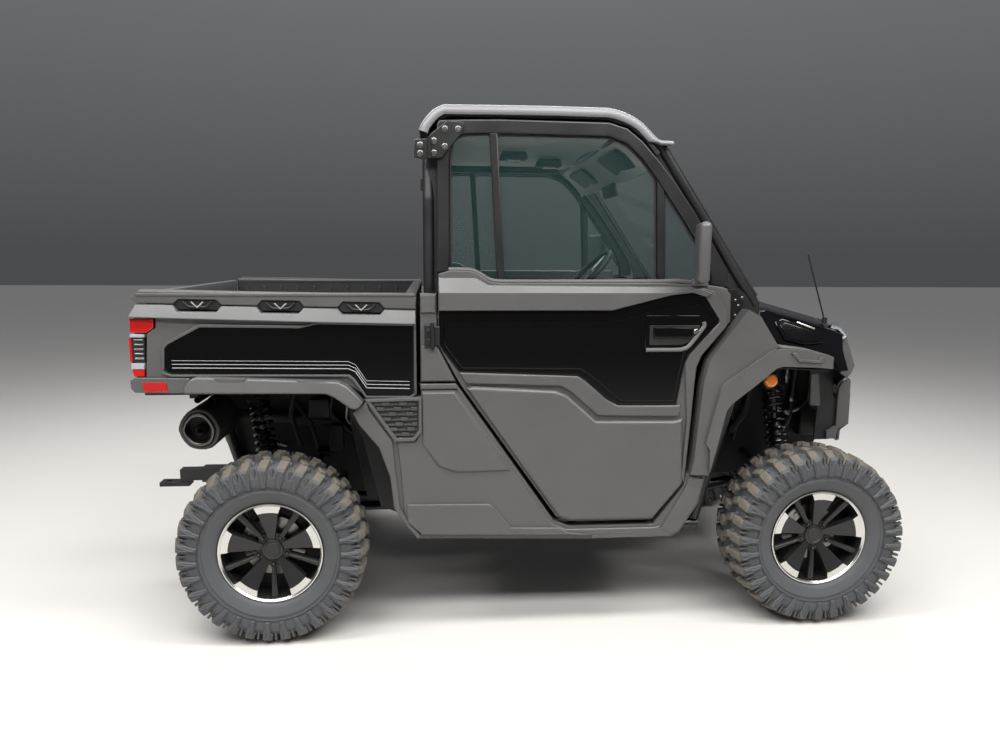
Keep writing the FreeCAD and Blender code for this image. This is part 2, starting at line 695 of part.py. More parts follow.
def make_front():
    body = new_body("FasciaBody")
    upper = [
        ("nose_x - 117", "1140"), ("nose_x - 80", "1130"), ("nose_x - 52", "1100"), ("nose_x - 12", "978"),
        ("nose_x - 22", "950"), ("nose_x - 40", "925"), ("nose_x - 64", "902"), ("nose_x - 64", "838"),
        ("nose_x - 84", "838"), ("nose_x - 84", "908"), ("nose_x - 56", "936"), ("nose_x - 30", "976"),
        ("nose_x - 68", "1090"), ("nose_x - 90", "1114"), ("nose_x - 117", "1124"),
    ]
    around_nose(body, "brow", upper, len(NOSE_PLAN))
    lower = [
        ("nose_x - 84", "852"), ("nose_x - 47", "852"), ("nose_x - 21", "885"), ("nose_x - 10", "850"),
        ("nose_x - 10", "719"), ("nose_x - 32", "700"), ("nose_x - 43", "694"), ("nose_x - 45", "652"),
        ("nose_x - 60", "652"), ("nose_x - 58", "702"), ("nose_x - 28", "728"), ("nose_x - 28", "842"),
        ("nose_x - 84", "836"),
    ]
    around_nose(body, "bumper", lower, len(NOSE_PLAN) - 2)
    lamp_x = ("nose_x - 300", "nose_x")
    sockets = [box(f"lamp_socket_{side}", lamp_x, side_span(side, "300", "556 + 1"), ("1088", "1145"))
               for side in ("left", "right")]
    lamps = [box(f"lamp_block_{side}", lamp_x, side_span(side, "300 + seat_gap", "556 + 1"),
                 ("1088 + seat_gap", "1145")) for side in ("left", "right")]
    keep("headlamps", common("headlamp_common", [body, group("lamp_blocks", lamps)]))
    keep("front_fascia", cut("front_fascia_cut", body, group("lamp_sockets", sockets)))

    make_hood()
    foot_z = "cowl_z - 76.5"
    keep("antenna", fuse("antenna_union", [
        rod("antenna_foot", ("1246", "-560", foot_z), ("1246", "-560", f"{foot_z} + 22"), "10"),
        rod("antenna_whip", ("1244", "-560", f"{foot_z} + 16"), ("1160", "-560", "1416"), "3")]))


def make_hood():
    """Crowned sheet that falls toward its edges and ends along the nose."""
    body = new_body("HoodBody")
    shape = [("0", "38"), ("300", "32"), ("450", "16"), ("520", "7"), ("560", "0"), ("588", "-12")]
    rear_x = "hood_pin_x + 8"
    ridge_z, fall = "cowl_z - 7", "0.275"
    sections = []
    for half, rise in shape:
        back = dict(NOSE_PLAN).get(half, {"300": "24", "560": "130", "588": "150"}.get(half))
        front_x = f"nose_x - 127 - {back}"
        top_rear = f"{ridge_z} + {rise}"
        top_front = f"{ridge_z} + {rise} - {fall} * ({front_x} - {rear_x})"
        sections.append((half, [(rear_x, f"{top_rear} - panel_wall"), (front_x, f"{top_front} - panel_wall"),
                                (front_x, top_front), (rear_x, top_rear)]))
    mirrored_sections = [(f"-{half}", loop) for half, loop in reversed(sections[1:])]
    loft(body, "hood_sheet", "XZ", mirrored_sections + sections)
    lugs = []
    pins = []
    for side, place in (("left", left), ("right", right)):
        lugs.append(box(f"hood_lug_{side}", ("958", "986"), side_span(side, "500", "524"),
                        ("hood_pin_z - 8", "hood_pin_z + 9")))
        pins.append(rod(f"hood_bore_{side}", place("hood_pin_x", "495", "hood_pin_z"),
                        place("hood_pin_x", "530", "hood_pin_z"), "5 + running_gap"))
    keep("hood", cut("hood_cut", fuse("hood_union", [body] + lugs), fuse("hood_bores", pins)))


def make_fenders():
    body = new_body("FenderBody")
    skin = [
        ("857", "1204"), ("890", "1192"), ("968", "1073"), ("1153", "1051"), ("1180", "1004"), ("976", "1004"),
        ("886", "943"), ("800", "875"), ("775", "845"), ("748", "716"), ("726", "602"), ("652", "607"),
        ("666", "661"), ("675", "796"), ("688", "946"), ("708", "1034"), ("787", "1141"), ("843", "1212"),
    ]
    pad(body, "skin", "XZ", [skin], "skin_y - 40", "36")
    face = [
        ("862", "1203"), ("886", "1190"), ("960", "1076"), ("900", "1062"), ("760", "936"), ("740", "868"),
        ("706", "726"), ("692", "640"), ("690", "747"), ("701", "922"), ("725", "1035"),
    ]
    pad(body, "face", "XZ", [face], "skin_y - 5", "9")
    flare = [
        ("722", "702"), ("704", "725"), ("737", "864"), ("751", "928"), ("762", "947"), ("935", "1066"),
        ("951", "1074"), ("1017", "1073"), ("1113", "1059"), ("1150", "1051"), ("1172", "1012"), ("1160", "1001"),
        ("978", "1006"), ("956", "1001"), ("886", "943"), ("800", "875"), ("777", "847"), ("748", "716"),
        ("726", "612"),
    ]
    pad(body, "flare", "XZ", [flare], "skin_y - 50", "flare_y - skin_y + 48")
    ledge = [("966", "1086"), ("1090", "1070"), ("1160", "1050"), ("1180", "1040"), ("1180", "1006"), ("980", "1040")]
    pad(body, "ledge", "XZ", [ledge], "skin_y - 95", "107")
    lip = [
        ("712", "610"), ("735", "720"), ("762", "850"), ("850", "935"), ("955", "1004"), ("1160", "1006"),
        ("1160", "1012"), ("953", "1012"), ("846", "942"), ("757", "855"), ("729", "721"), ("706", "612"),
    ]
    pad(body, "arch_lip", "XZ", [lip], "skin_y - 62", "24")
    stay = [("852", "1010"), ("890", "1010"), ("912", "1140"), ("880", "1140")]
    pad(body, "stay", "XZ", [stay], "pillar_y - 9 + cage_radius + seat_gap", "skin_y - 40 - pillar_y - 10")
    keep("front_fenders", both_sides("front_fender_pair", body))

    side = new_body("HoodSideBody")
    stations = [
        ("966", "1086", "1201"), ("1090", "1070", "1175"), ("1160", "1050", "1153"), ("1180", "1040", "1147"),
        ("1213", "1033", "1136"), ("1261", "975", "1122"), ("1292", "975", "1112"),
    ]
    lean = "0.42"
    sections = []
    for x, low, high in stations:
        turn_in = f"0.34 * ({x} - 1180)" if size(x) > 1180 else "0"
        out_low = f"-(skin_y - 82) + {lean} * ({low} - 1060) + {turn_in}"
        out_high = f"-(skin_y - 82) + {lean} * ({high} - 1060) + {turn_in}"
        sections.append((x, [(out_low, f"{low} + seat_gap"), (f"{out_low} + panel_wall", f"{low} + seat_gap"),
                             (f"{out_high} + panel_wall", high), (out_high, high)]))
    loft(side, "hood_side_panel", "YZ", sections)
    keep("hood_sides", both_sides("hood_side_pair", side))


def make_rockers():
    body = new_body("RockerBody")
    side = [
        ("-337", "897"), ("-534", "868"), ("-579", "845"), ("-465", "709"), ("-449", "595"), ("-428", "470"),
        ("-351", "375"), ("289", "rocker_z"), ("601", "rocker_z"), ("630", "376"), ("699", "484"), ("723", "593"),
        ("640", "560"), ("540", "sill_z - 10"), ("180", "sill_z - 10"), ("150", "sill_z + 8"),
        ("-219", "963 - seat_gap"), ("-337", "963 - seat_gap"),
    ]
    pad(body, "side", "XZ", [side], "skin_y - 40", "44")
    upper_plate = [
        ("-330", "925"), ("-330", "735"), ("-276", "650"), ("-210", "626"), ("-20", "630"), ("-222", "925"),
    ]
    lower_plate = [
        ("-392", "512"), ("-93", "507"), ("-72", "492"), ("-10", "414"), ("150", "410"), ("196", "391"),
        ("290", "378"), ("-338", "396"), ("-390", "444"),
    ]
    riser = [
        ("556", "394"), ("598", "368"), ("626", "382"), ("688", "486"), ("706", "580"), ("656", "566"), ("560", "420"),
    ]
    pad(body, "plates", "XZ", [upper_plate, lower_plate, riser], "skin_y + 3", "7")
    vent = [("-520", "880"), ("-350", "890"), ("-350", "788"), ("-368", "762"), ("-424", "760")]
    pocket(body, "vent_recess", "XZ", [vent], "skin_y - 14", "19")
    bars = [[("-516", f"{z} + 8"), ("-346", f"{z} + 8"), ("-346", z), ("-516", z)] for z in ("856", "826", "796")]
    pad(body, "vent_bars", "XZ", bars, "skin_y - 16", "16")
    ledge = [("-260", "362"), ("640", "362"), ("560", "sill_z - 12"), ("100", "sill_z - 12"), ("-260", "sill_z")]
    pad(body, "ledge", "XZ", [ledge], "cab_half + brace_radius + 2 + seat_gap", "skin_y - 39 - cab_half - 19")
    keep("rocker_panels", both_sides("rocker_pair", body))


def make_bed():
    tub = new_body("BedTubBody")
    half = "rail_y - 92"
    wall_top = "bed_rail_z - 66 - seat_gap"
    section = [
        (f"-({half})", "bed_floor_z"), (half, "bed_floor_z"), (half, wall_top),
        (f"{half} - bed_wall", wall_top), (f"{half} - bed_wall", "bed_floor_z + bed_wall"),
        (f"-({half}) + bed_wall", "bed_floor_z + bed_wall"), (f"-({half}) + bed_wall", wall_top),
        (f"-({half})", wall_top),
    ]
    pad(tub, "channel", "YZ", [section], "bed_rear_x + 6", "bed_front_x - bed_rear_x - 6")
    front = [(f"-({half})", "bed_floor_z"), (half, "bed_floor_z"), (half, wall_top), (f"-({half})", wall_top)]
    pad(tub, "front_wall", "YZ", [front], "bed_front_x - bed_wall", "bed_wall")
    pieces = [tub]
    for side, place in (("left", left), ("right", right)):
        pieces.append(box(f"bed_rib_{side}", ("-1205", "bed_front_x - 20"),
                          side_span(side, "rear_frame_y - 20", "rear_frame_y + 20"),
                          (f"{DECK_Z} + brace_radius + 2 + seat_gap", "bed_floor_z + 1")))
        ear = box(f"bed_ear_{side}", ("-1262", "-1208"), side_span(side, "rear_frame_y + 36", "rear_frame_y + 50"),
                  (f"{DECK_Z} - 27", "bed_floor_z + 1"))
        bore = rod(f"bed_ear_bore_{side}", place("-1235", "rear_frame_y + 30", DECK_Z),
                   place("-1235", "rear_frame_y + 60", DECK_Z), "brace_radius - 2 + running_gap")
        pieces.append(cut(f"bed_ear_bored_{side}", ear, bore))
        pieces.append(box(f"gate_ear_{side}", ("gate_pin_x - 14", "bed_rear_x + 30"),
                          side_span(side, f"{half} - 16", half), ("bed_floor_z", "gate_pin_z + 16")))
        pieces.append(rod(f"gate_pin_{side}", place("gate_pin_x", f"{half} - 10", "gate_pin_z"),
                          place("gate_pin_x", f"{half} - 42", "gate_pin_z"), "5"))
    keep("bed_tub", fuse("bed_tub_union", pieces))

    body = new_body("BedSideBody")
    outline = [
        ("-1318", "bed_rail_z - 52"), ("bed_front_x - 6", "bed_rail_z - 66"), ("bed_front_x - 6", "906"),
        ("-514", "906"), ("-574", "978"), ("-1131", "976"), ("-1279 + seat_gap", "981"),
        ("-1268 + seat_gap", "1134"), ("-1240 + seat_gap", "1154"), ("-1240 + seat_gap", "1190"), ("-1318", "1190"),
    ]
    pad(body, "side", "XZ", [outline], "rail_y - 39.7", "40")
    cap = [
        ("-1322", "bed_rail_z - 40"), ("-1291", "bed_rail_z"), ("bed_front_x", "bed_rail_z - 17"),
        ("bed_front_x", "bed_rail_z - 66"), ("-1300", "bed_rail_z - 52"),
    ]
    pad(body, "cap", "XZ", [cap], "rail_y - 118", "122")
    slots = [
        [(f"{x} - 80", f"{z} + 2"), (f"{x} - 62", f"{z} + 20"), (f"{x} + 65", f"{z} + 18"), (f"{x} + 81", f"{z} - 6"),
         (f"{x} + 67", f"{z} - 14"), (f"{x} - 64", f"{z} - 14")]
        for x, z in (("-1098", "bed_rail_z - 50"), ("-818", "bed_rail_z - 54"), ("-543", "bed_rail_z - 58"))
    ]
    pocket(body, "cap_slots", "XZ", slots, "rail_y - 18", "23")
    flare = [
        ("-1146", "948"), ("-1125", "979"), ("-1105", "986"), ("-624", "968"), ("-590", "950"), ("-541", "898"),
        ("-562", "876"), ("-579", "876"), ("-639", "915"), ("-665", "926"), ("-1142", "931"),
    ]
    pad(body, "flare", "XZ", [flare], "rail_y - 30", "flare_y - rail_y + 26")
    corner = [("-1332", "971"), ("-1315", "981"), ("-1131", "978"), ("-1157", "926"), ("-1318", "929"),
              ("-1330", "943")]
    pad(body, "corner", "XZ", [corner], "rail_y - 38", "46")
    keep("bed_sides", both_sides("bed_side_pair", body))

    insert = new_body("BedInsertBody")
    outline = [
        ("-1214", "1088"), ("-1202", "1100"), ("-1091", "1158"), ("-755", "1154"), ("-691", "1162"), ("-364", "1158"),
        ("-364", "922"), ("-375", "912"), ("-530", "913"), ("-570", "982"), ("-587", "992"), ("-1192", "995"),
        ("-1208", "1001"), ("-1216", "1011"),
    ]
    pad(insert, "bed_insert", "XZ", [outline], "rail_y + 0.3 + seat_gap", "insert_wall")
    keep("bed_inserts", both_sides("bed_insert_pair", insert))

    lamp = new_body("TailLampBody")
    outline = [("-1340", "1182"), ("-1240", "1182"), ("-1240", "1154"), ("-1268", "1134"), ("-1279", "983"),
               ("-1340", "983")]
    pad(lamp, "tail_lamp", "XZ", [outline], "rail_y - 88", "80")
    keep("tail_lamps", both_sides("tail_lamp_pair", lamp))

    gate = new_body("TailgateBody")
    reach = f"{half} - 22"
    outline = [(f"-({reach})", "bed_floor_z + 8"), (reach, "bed_floor_z + 8"), (reach, "bed_rail_z - 70"),
               (f"-({reach})", "bed_rail_z - 70")]
    pad(gate, "gate", "YZ", [outline], "bed_rear_x - 32", "32")
    bores = [rod(f"gate_bore_{side}", place("gate_pin_x", f"{half} - 20", "gate_pin_z"),
                 place("gate_pin_x", f"{half} - 46", "gate_pin_z"), "5 + running_gap")
             for side, place in (("left", left), ("right", right))]
    keep("tailgate", cut("tailgate_cut", gate, fuse("gate_bores", bores)))


DOOR_SHELL = [
    ("door_rear_x", "belt_z + 25"), ("door_rear_x + 5", "1076"), ("-204", "955"), ("166", "sill_z + 18"),
    ("190", "sill_z"), ("522", "sill_z"), ("620", "563"), ("642", "666"), ("654", "810"), ("672", "1004"),
    ("694", "1052"), ("763", "1131"), ("door_front_x", "1167"), ("door_front_x", "1273"), ("738", "1298"),
    ("536", "belt_z - 2"), ("-127", "belt_z"), ("-179", "belt_z + 27"),
]


def between_belt_and_top(share):
    return f"belt_z + {share} * (frame_top_z - belt_z)"


FRAME_CORNER = [
    ("451", between_belt_and_top(0.882)), ("509", between_belt_and_top(0.77)), ("568", between_belt_and_top(0.643)),
    ("648", between_belt_and_top(0.448)), ("720", between_belt_and_top(0.25)), ("772", between_belt_and_top(0.097)),
]
DOOR_FRAME = [
    ("door_rear_x", "belt_z - 30"), ("door_rear_x", "frame_top_z - 46"), ("-236", "frame_top_z - 4"),
    ("-180", "frame_top_z"), ("330", "frame_top_z"), ("395", "frame_top_z - 22"), *FRAME_CORNER,
    ("door_front_x - 4", "belt_z - 26"), ("700", "belt_z - 36"), ("500", "belt_z - 30"),
]
REAR_PANE = [
    ("-232", "belt_z + 36"), ("-230", "frame_top_z - 134"), ("-180", "frame_top_z - 50"),
    ("-96", "frame_top_z - 46"), ("-66", "belt_z + 6"),
]
MAIN_PANE = [
    ("-60", "frame_top_z - 46"), ("332", "frame_top_z - 49"), ("397", "frame_top_z - 74"),
    ("454", between_belt_and_top(0.768)), ("507", between_belt_and_top(0.649)), ("526", "belt_z + 4"),
    ("-30", "belt_z + 4"),
]
QUARTER_PANE = [
    ("537", between_belt_and_top(0.56)), ("673", between_belt_and_top(0.215)), ("688", "belt_z + 4"),
    ("554", "belt_z + 4"),
]
BELT_BAND = [
    ("door_rear_x + 6", "belt_z + 12"), ("-168", "belt_z + 12"), ("-140", "belt_z + 2"), ("-97", "belt_z - 23"),
    ("600", "belt_z - 28"), ("560", "1280"), ("363", "1220"), ("door_rear_x + 6", "1220"),
]
TRIM_BAND = [
    ("-192", "983"), ("229", "965"), ("256", "955"), ("380", "859"), ("608", "856"), ("606", "822"), ("304", "829"),
    ("202", "919"), ("165", "940"), ("-172", "952"),
]
LOWER_PANEL = [
    ("-166", "934"), ("-152", "941"), ("148", "923"), ("190", "907"), ("300", "810"), ("590", "807"), ("630", "812"),
    ("622", "620"), ("598", "563"), ("516", "sill_z + 12"), ("204", "sill_z + 12"), ("180", "sill_z + 24"),
]
FRONT_BORDER = [
    ("684", "1284"), ("728", "1276"), ("774", "1214"), ("774", "1156"), ("684", "1046"), ("664", "1003"),
    ("650", "812"), ("638", "812"), ("632", "862"), ("652", "1003"), ("674", "1052"), ("766", "1160"), ("768", "1184"),
    ("738", "1250"),
]
HANDLE_PLATE = [
    ("470", "1196"), ("668", "1196"), ("690", "1174"), ("640", "1098"), ("612", "1066"), ("488", "1066"),
    ("470", "1080"),
]
HANDLE_PADDLE = [("499", "1153"), ("644", "1152"), ("642", "1117"), ("500", "1117")]


HINGE_Z = ("belt_z - 226", "frame_top_z - 115")


def make_doors():
    shell = new_body("DoorBody")
    pad(shell, "shell", "XZ", [DOOR_SHELL], "skin_y - door_wall", "door_wall")
    pad(shell, "window_frame", "XZ", [DOOR_FRAME, REAR_PANE, MAIN_PANE, QUARTER_PANE],
        "frame_y - door_frame_wall", "door_frame_wall")
    pad(shell, "belt_band", "XZ", [BELT_BAND, TRIM_BAND, LOWER_PANEL, FRONT_BORDER], "skin_y - 1", "7")
    hinge_x = "door_rear_x - 8"
    hinge_y = "skin_y + hinge_out"
    barrels = []
    for i, z in enumerate(HINGE_Z):
        barrel = rod(f"hinge_barrel_{i}", right(hinge_x, hinge_y, z), right(hinge_x, hinge_y, f"{z} + 44"),
                     "hinge_radius")
        barrels.append(barrel)
        reach = ("skin_y - door_wall", "frame_y - door_frame_wall")[i]
        barrels.append(box(f"hinge_leaf_{i}", (hinge_x, "door_rear_x + 60"),
                           ("-(skin_y + hinge_out + 3)", "-(skin_y + hinge_out - 3)"), (z, f"{z} + 44")))
        barrels.append(box(f"hinge_web_{i}", ("door_rear_x + 1", "door_rear_x + 11"),
                           ("-(skin_y + hinge_out)", f"-({reach})"), (z, f"{z} + 44")))
    bores = [rod(f"hinge_bore_{i}", right(hinge_x, hinge_y, f"{z} - 5"), right(hinge_x, hinge_y, f"{z} + 49"),
                 "hinge_pin_radius") for i, z in enumerate(HINGE_Z)]
    door = cut("door_right_cut", fuse("door_right_union", [shell] + barrels), fuse("hinge_bores", bores))
    keep("door_right", door)
    keep("door_left", mirrored("door_left_mirror", door))

    pane = new_body("PaneBody")
    outline = [
        ("-250", "belt_z + 6"), ("-248", "frame_top_z - 125"), ("-196", "frame_top_z - 28"),
        ("338", "frame_top_z - 30"), ("408", "frame_top_z - 58"), ("468", between_belt_and_top(0.788)),
        ("524", between_belt_and_top(0.665)), ("690", between_belt_and_top(0.246)), ("714", "belt_z + 4"),
        ("560", "belt_z - 14"), ("-200", "belt_z - 14"),
    ]
    pad(pane, "pane", "XZ", [outline], "frame_y - door_frame_wall - glass_wall - seat_gap", "glass_wall")
    keep("door_glass_right", pane)
    keep("door_glass_left", mirrored("door_glass_left_mirror", pane))

    insert = new_body("InsertBody")
    outline = [
        ("door_rear_x + 13", "1213"), ("367", "1210"), ("552", "1272"), ("670", "1270"), ("723", "1241"),
        ("751", "1178"), ("744", "1154"), ("651", "1055"), ("623", "1004"), ("603", "862"), ("381", "865"),
        ("258", "962"), ("232", "971"), ("-190", "988"), ("door_rear_x + 18", "1090"),
    ]
    pad(insert, "insert", "XZ", [outline], "skin_y + seat_gap", "insert_wall")
    pad(insert, "handle_plate", "XZ", [HANDLE_PLATE], "skin_y + insert_wall", "2.5")
    pad(insert, "handle_paddle", "XZ", [HANDLE_PADDLE], "skin_y + insert_wall", "10")
    keep("door_insert_right", insert)
    keep("door_insert_left", mirrored("door_insert_left_mirror", insert))

    head = new_body("MirrorBody")
    outline = [("-66", "1316"), ("66", "1330"), ("66", "1519"), ("-66", "1500")]
    pad(head, "head", "YZ", [outline], "0", "40")
    head.Placement = Placement(Vector(625, -880, 0), Rotation(Vector(0, 0, 1), -20))
    clamp = box("mirror_clamp", ("625", "680"), ("-skin_y - 20", "-skin_y - seat_gap"), ("1276", "1310"))
    stem = rod("mirror_stem", ("652", "-skin_y - 10", "1300"), ("645", "-850", "1380"), "11")
    mirror_right = fuse("mirror_right_union", [head, stem, clamp])
    keep("mirror_right", mirror_right)
    keep("mirror_left", mirrored("mirror_left_mirror", mirror_right))


def make_hinge_pins():
    pieces = []
    hinge_x = "door_rear_x - 8"
    hinge_y = "skin_y + hinge_out"
    for i, z in enumerate(HINGE_Z):
        pieces.append(rod(f"hinge_pin_{i}", right(hinge_x, hinge_y, f"{z} - 8"),
                          right(hinge_x, hinge_y, f"{z} + 52"), "hinge_pin_radius - 0.05"))
        reach = "-(skin_y - 12 + seat_gap)" if i == 0 else "-(roof_rail_y + cage_radius + seat_gap)"
        for j, low in enumerate((f"{z} - 14", f"{z} + 46")):
            pieces.append(box(f"hinge_ear_{i}_{j}", ("pillar_x - 10", f"{hinge_x} + 3"),
                              ("-(skin_y + hinge_out + 8)", reach), (low, f"{low} + 12")))
    one = fuse("hinge_brackets_right", pieces)
    keep("door_hinge_brackets", both_sides("hinge_bracket_pair", one))


def make_steering():
    ring = doc.addObject("Part::Torus", "steering_ring")
    ring.Radius1 = 165
    ring.Radius2 = 14
    hub = doc.addObject("Part::Cylinder", "steering_hub")
    hub.Radius = 34
    hub.Height = 40
    hub.Placement = Placement(Vector(0, 0, -34), Rotation())
    spokes = []
    for i in range(3):
        spoke = doc.addObject("Part::Box", f"steering_spoke_{i}")
        spoke.Length = 160
        spoke.Width = 26
        spoke.Height = 8
        turn = Rotation(Vector(0, 0, 1), 90 + 120 * i)
        spoke.Placement = Placement(turn.multVec(Vector(0, -13, -4)), turn)
        spokes.append(spoke)
    wheel = fuse("steering_wheel_union", [ring, hub] + spokes)
    wheel.Placement = Placement(Vector(size("steer_x"), size("steer_y"), size("steer_z")),
                                Rotation(Vector(0, 1, 0), -45))
    keep("steering_wheel", wheel)


def upright(name, x):
    """Knuckle body with the spindle that the hub turns on, right side."""
    axle = str(AXLE_Z)
    plate = ("-kingpin_y - 42", "-kingpin_y - 25")
    pieces = [
        box(name + "_plate", (f"{x} - 40", f"{x} + 40"), plate, (f"{axle} - knuckle_half", f"{axle} + knuckle_half")),
        rod(name + "_spindle", (x, "-kingpin_y - 30", axle), (x, "-wheel_y - 62", axle),
            "hub_bore_radius - running_gap"),
    ]
    for level, low, high in (("lower", "- knuckle_half", "- knuckle_half + 26"),
                             ("upper", "+ knuckle_half - 26", "+ knuckle_half")):
        pieces.append(box(f"{name}_{level}_lug", (f"{x} - 24", f"{x} + 24"), ("-kingpin_y - 30", "-kingpin_y + 18"),
                          (f"{axle} {low}", f"{axle} {high}")))
    return fuse(name, pieces)


def make_running_gear():
    axle = str(AXLE_Z)
    one = upright("knuckle_right_union", FRONT_AXLE)
    keep("knuckle_right", one)
    keep("knuckle_left", mirrored("knuckle_left_mirror", one))
    keep("rear_knuckles", both_sides("rear_knuckle_pair", upright("rear_knuckle_union", "rear_axle_x")))

    arms = []
    for end, x in (("front", FRONT_AXLE), ("rear", "rear_axle_x")):
        for level, low, high, below, above in (
                ("lower", f"{axle} - knuckle_half - 44", "arm_lower_z", "20", "44 - seat_gap"),
                ("upper", f"{axle} + knuckle_half + 22", "arm_upper_z", "(22 - seat_gap)", "20")):
            name = f"{end}_{level}_arm"
            pieces = [rod(name + "_joint", (x, "-kingpin_y", f"{low} - {below}"),
                          (x, "-kingpin_y", f"{low} + {above}"), "16")]
            for i, reach in enumerate(("-130", "130")):
                eye = f"{x} + {reach}"
                pieces.append(rod(f"{name}_{i}", (x, "-kingpin_y", low), (eye, "-arm_inner_y", high), "12"))
                pieces.append(rod(f"{name}_eye_{i}", (f"{eye} - 24", "-arm_inner_y", high),
                                  (f"{eye} + 24", "-arm_inner_y", high), "arm_eye"))
            arms.append(fuse(name, pieces))
    keep("suspension_arms", both_sides("arm_pair", group("arm_group", arms)))

    shocks = [coil_over("front", (f"{FRONT_AXLE} - 34", "-shock_low_y", "shock_low_z"),
                        (f"{FRONT_AXLE} - 28", "-shock_top_y", "900")),
              coil_over("rear", ("rear_axle_x - 46", "-shock_low_y", "shock_low_z"),
                        ("rear_axle_x - 120", "-shock_top_y", DECK_Z))]
    keep("coil_overs", both_sides("coil_over_pair", group("coil_over_group", shocks)))

    shafts = []
    for end, x, seat in (
            ("front", FRONT_AXLE, (f"{FRONT_AXLE} - 110", f"{FRONT_AXLE} + 128 - brace_radius - seat_gap")),
            ("rear", "rear_axle_x", ("rear_axle_x - 182 + brace_radius + seat_gap", "rear_axle_x + 90"))):
        case = box(f"{end}_differential", seat, ("-110", "110"), ("330", "470"))
        halves = []
        for side, place in (("left", left), ("right", right)):
            halves.append(rod(f"{end}_half_shaft_{side}", place(x, "kingpin_y", axle), place(x, "100", "385"), "13"))
            joint = doc.addObject("Part::Sphere", f"{end}_joint_{side}")
            joint.Radius = 20
            joint.Placement.Base = Vector(*map(size, place(x, "kingpin_y", axle)))
            halves.append(joint)
        shafts.append(fuse(f"{end}_axle", [case] + halves))
    keep("drive_axles", group("drive_axle_pair", shafts))


def coil_over(name, low, top):
    """Damper between two eyes: one turned outline holds the sleeve, the spring's turns and its two cups."""
    first = Vector(*map(size, low))
    run = Vector(*map(size, top)) - first
    length = run.Length
    sleeve, turn, cup, wire = 33, 44, 46, 7
    outline = [(0, 0.02 * length), (16, 0.02 * length), (16, 0.2 * length), (cup, 0.2 * length),
               (cup, 0.235 * length), (sleeve, 0.235 * length)]
    for i in range(7):
        middle = length * (0.28 + 0.54 * i / 6)
        outline += [(sleeve, middle - wire), (turn, middle - wire / 2), (turn, middle + wire / 2),
                    (sleeve, middle + wire)]
    outline += [(sleeve, 0.865 * length), (cup, 0.865 * length), (cup, 0.9 * length), (15, 0.9 * length),
                (15, length), (0, length)]
    damper = doc.addObject("Part::Feature", name + "_damper")
    face = flat_face([Vector(radius, 0, height) for radius, height in outline])
    damper.Shape = face.revolve(Vector(0, 0, 0), Vector(0, 0, 1), 360)
    damper.Placement = Placement(first, Rotation(Vector(0, 0, 1), run))
    eyes = []
    for end, point in (("low", first), ("top", first + run)):
        eye = doc.addObject("Part::Cylinder", f"{name}_eye_{end}")
        eye.Radius = 20
        eye.Height = 40
        eye.Placement = Placement(point - Vector(20, 0, 0), Rotation(Vector(0, 1, 0), 90))
        eyes.append(eye)
    return fuse(name + "_shock", [damper] + eyes)


def check_and_write():
    doc.recompute()
    failed = [obj.Label for obj in doc.Objects if "Invalid" in obj.State or "Error" in obj.State]
    if failed:
        raise RuntimeError("failed objects: " + ", ".join(failed))
    for label, obj in NODES.items():
        shape = obj.Shape
        if shape.isNull() or not shape.isValid() or not shape.Solids:
            raise RuntimeError("bad shape: " + label)
        shape.exportStep(f"parts/{label}.step")
    print(len(NODES), "nodes")


make_wheels()
make_chassis()
make_cage()
make_roof()
make_windshield()
make_cab_shell()
make_seats()
make_engine()
make_muffler()
make_hitch()
make_front()
make_fenders()
make_rockers()
make_bed()
make_doors()
make_hinge_pins()
make_steering()
make_running_gear()
check_and_write()
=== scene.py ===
import json
import math

import bmesh
import bpy
from mathutils import Matrix, Vector


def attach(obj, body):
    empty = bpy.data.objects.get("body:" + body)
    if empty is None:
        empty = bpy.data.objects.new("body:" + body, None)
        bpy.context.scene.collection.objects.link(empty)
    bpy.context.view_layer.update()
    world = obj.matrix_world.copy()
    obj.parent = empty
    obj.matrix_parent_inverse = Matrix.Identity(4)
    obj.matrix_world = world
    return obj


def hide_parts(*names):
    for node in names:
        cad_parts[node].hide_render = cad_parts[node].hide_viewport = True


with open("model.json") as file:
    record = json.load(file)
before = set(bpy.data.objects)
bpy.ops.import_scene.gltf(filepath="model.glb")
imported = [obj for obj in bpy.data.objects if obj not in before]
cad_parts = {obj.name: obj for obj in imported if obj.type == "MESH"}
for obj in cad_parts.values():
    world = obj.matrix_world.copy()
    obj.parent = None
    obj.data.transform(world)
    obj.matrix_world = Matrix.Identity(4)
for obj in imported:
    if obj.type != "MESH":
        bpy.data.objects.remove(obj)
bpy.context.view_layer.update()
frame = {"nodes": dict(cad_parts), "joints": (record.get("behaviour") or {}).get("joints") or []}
nodes = frame["nodes"]
mm = 0.001

# camera: the photograph's place, found from the wheels, the bed and the windows
view = {
    "place": (-0.2925, -3.3969, 1.4101),
    "turn": (80.861, -0.350, -5.081),
    "lens": 27.07,
    "sensor": 36.0,
}
lens = bpy.data.cameras.new("lens")
lens.lens = view["lens"]
lens.sensor_width = view["sensor"]
camera = bpy.data.objects.new("camera", lens)
camera.location = view["place"]
camera.rotation_euler = [math.radians(angle) for angle in view["turn"]]
bpy.context.scene.collection.objects.link(camera)
bpy.context.scene.camera = camera

# materials


def linearColour(hexCode):
    parts = [int(hexCode[i:i + 2], 16) / 255 for i in (1, 3, 5)]
    return [p / 12.92 if p <= 0.04045 else ((p + 0.055) / 1.055) ** 2.4 for p in parts] + [1.0]


def addNode(tree, kind, settings=None, links=None):
    node = tree.nodes.new(kind)
    for key, value in (settings or {}).items():
        if key in node.inputs:
            node.inputs[key].default_value = value
        else:
            setattr(node, key, value)
    for key, source in (links or {}).items():
        tree.links.new(source, node.inputs[key])
    return node


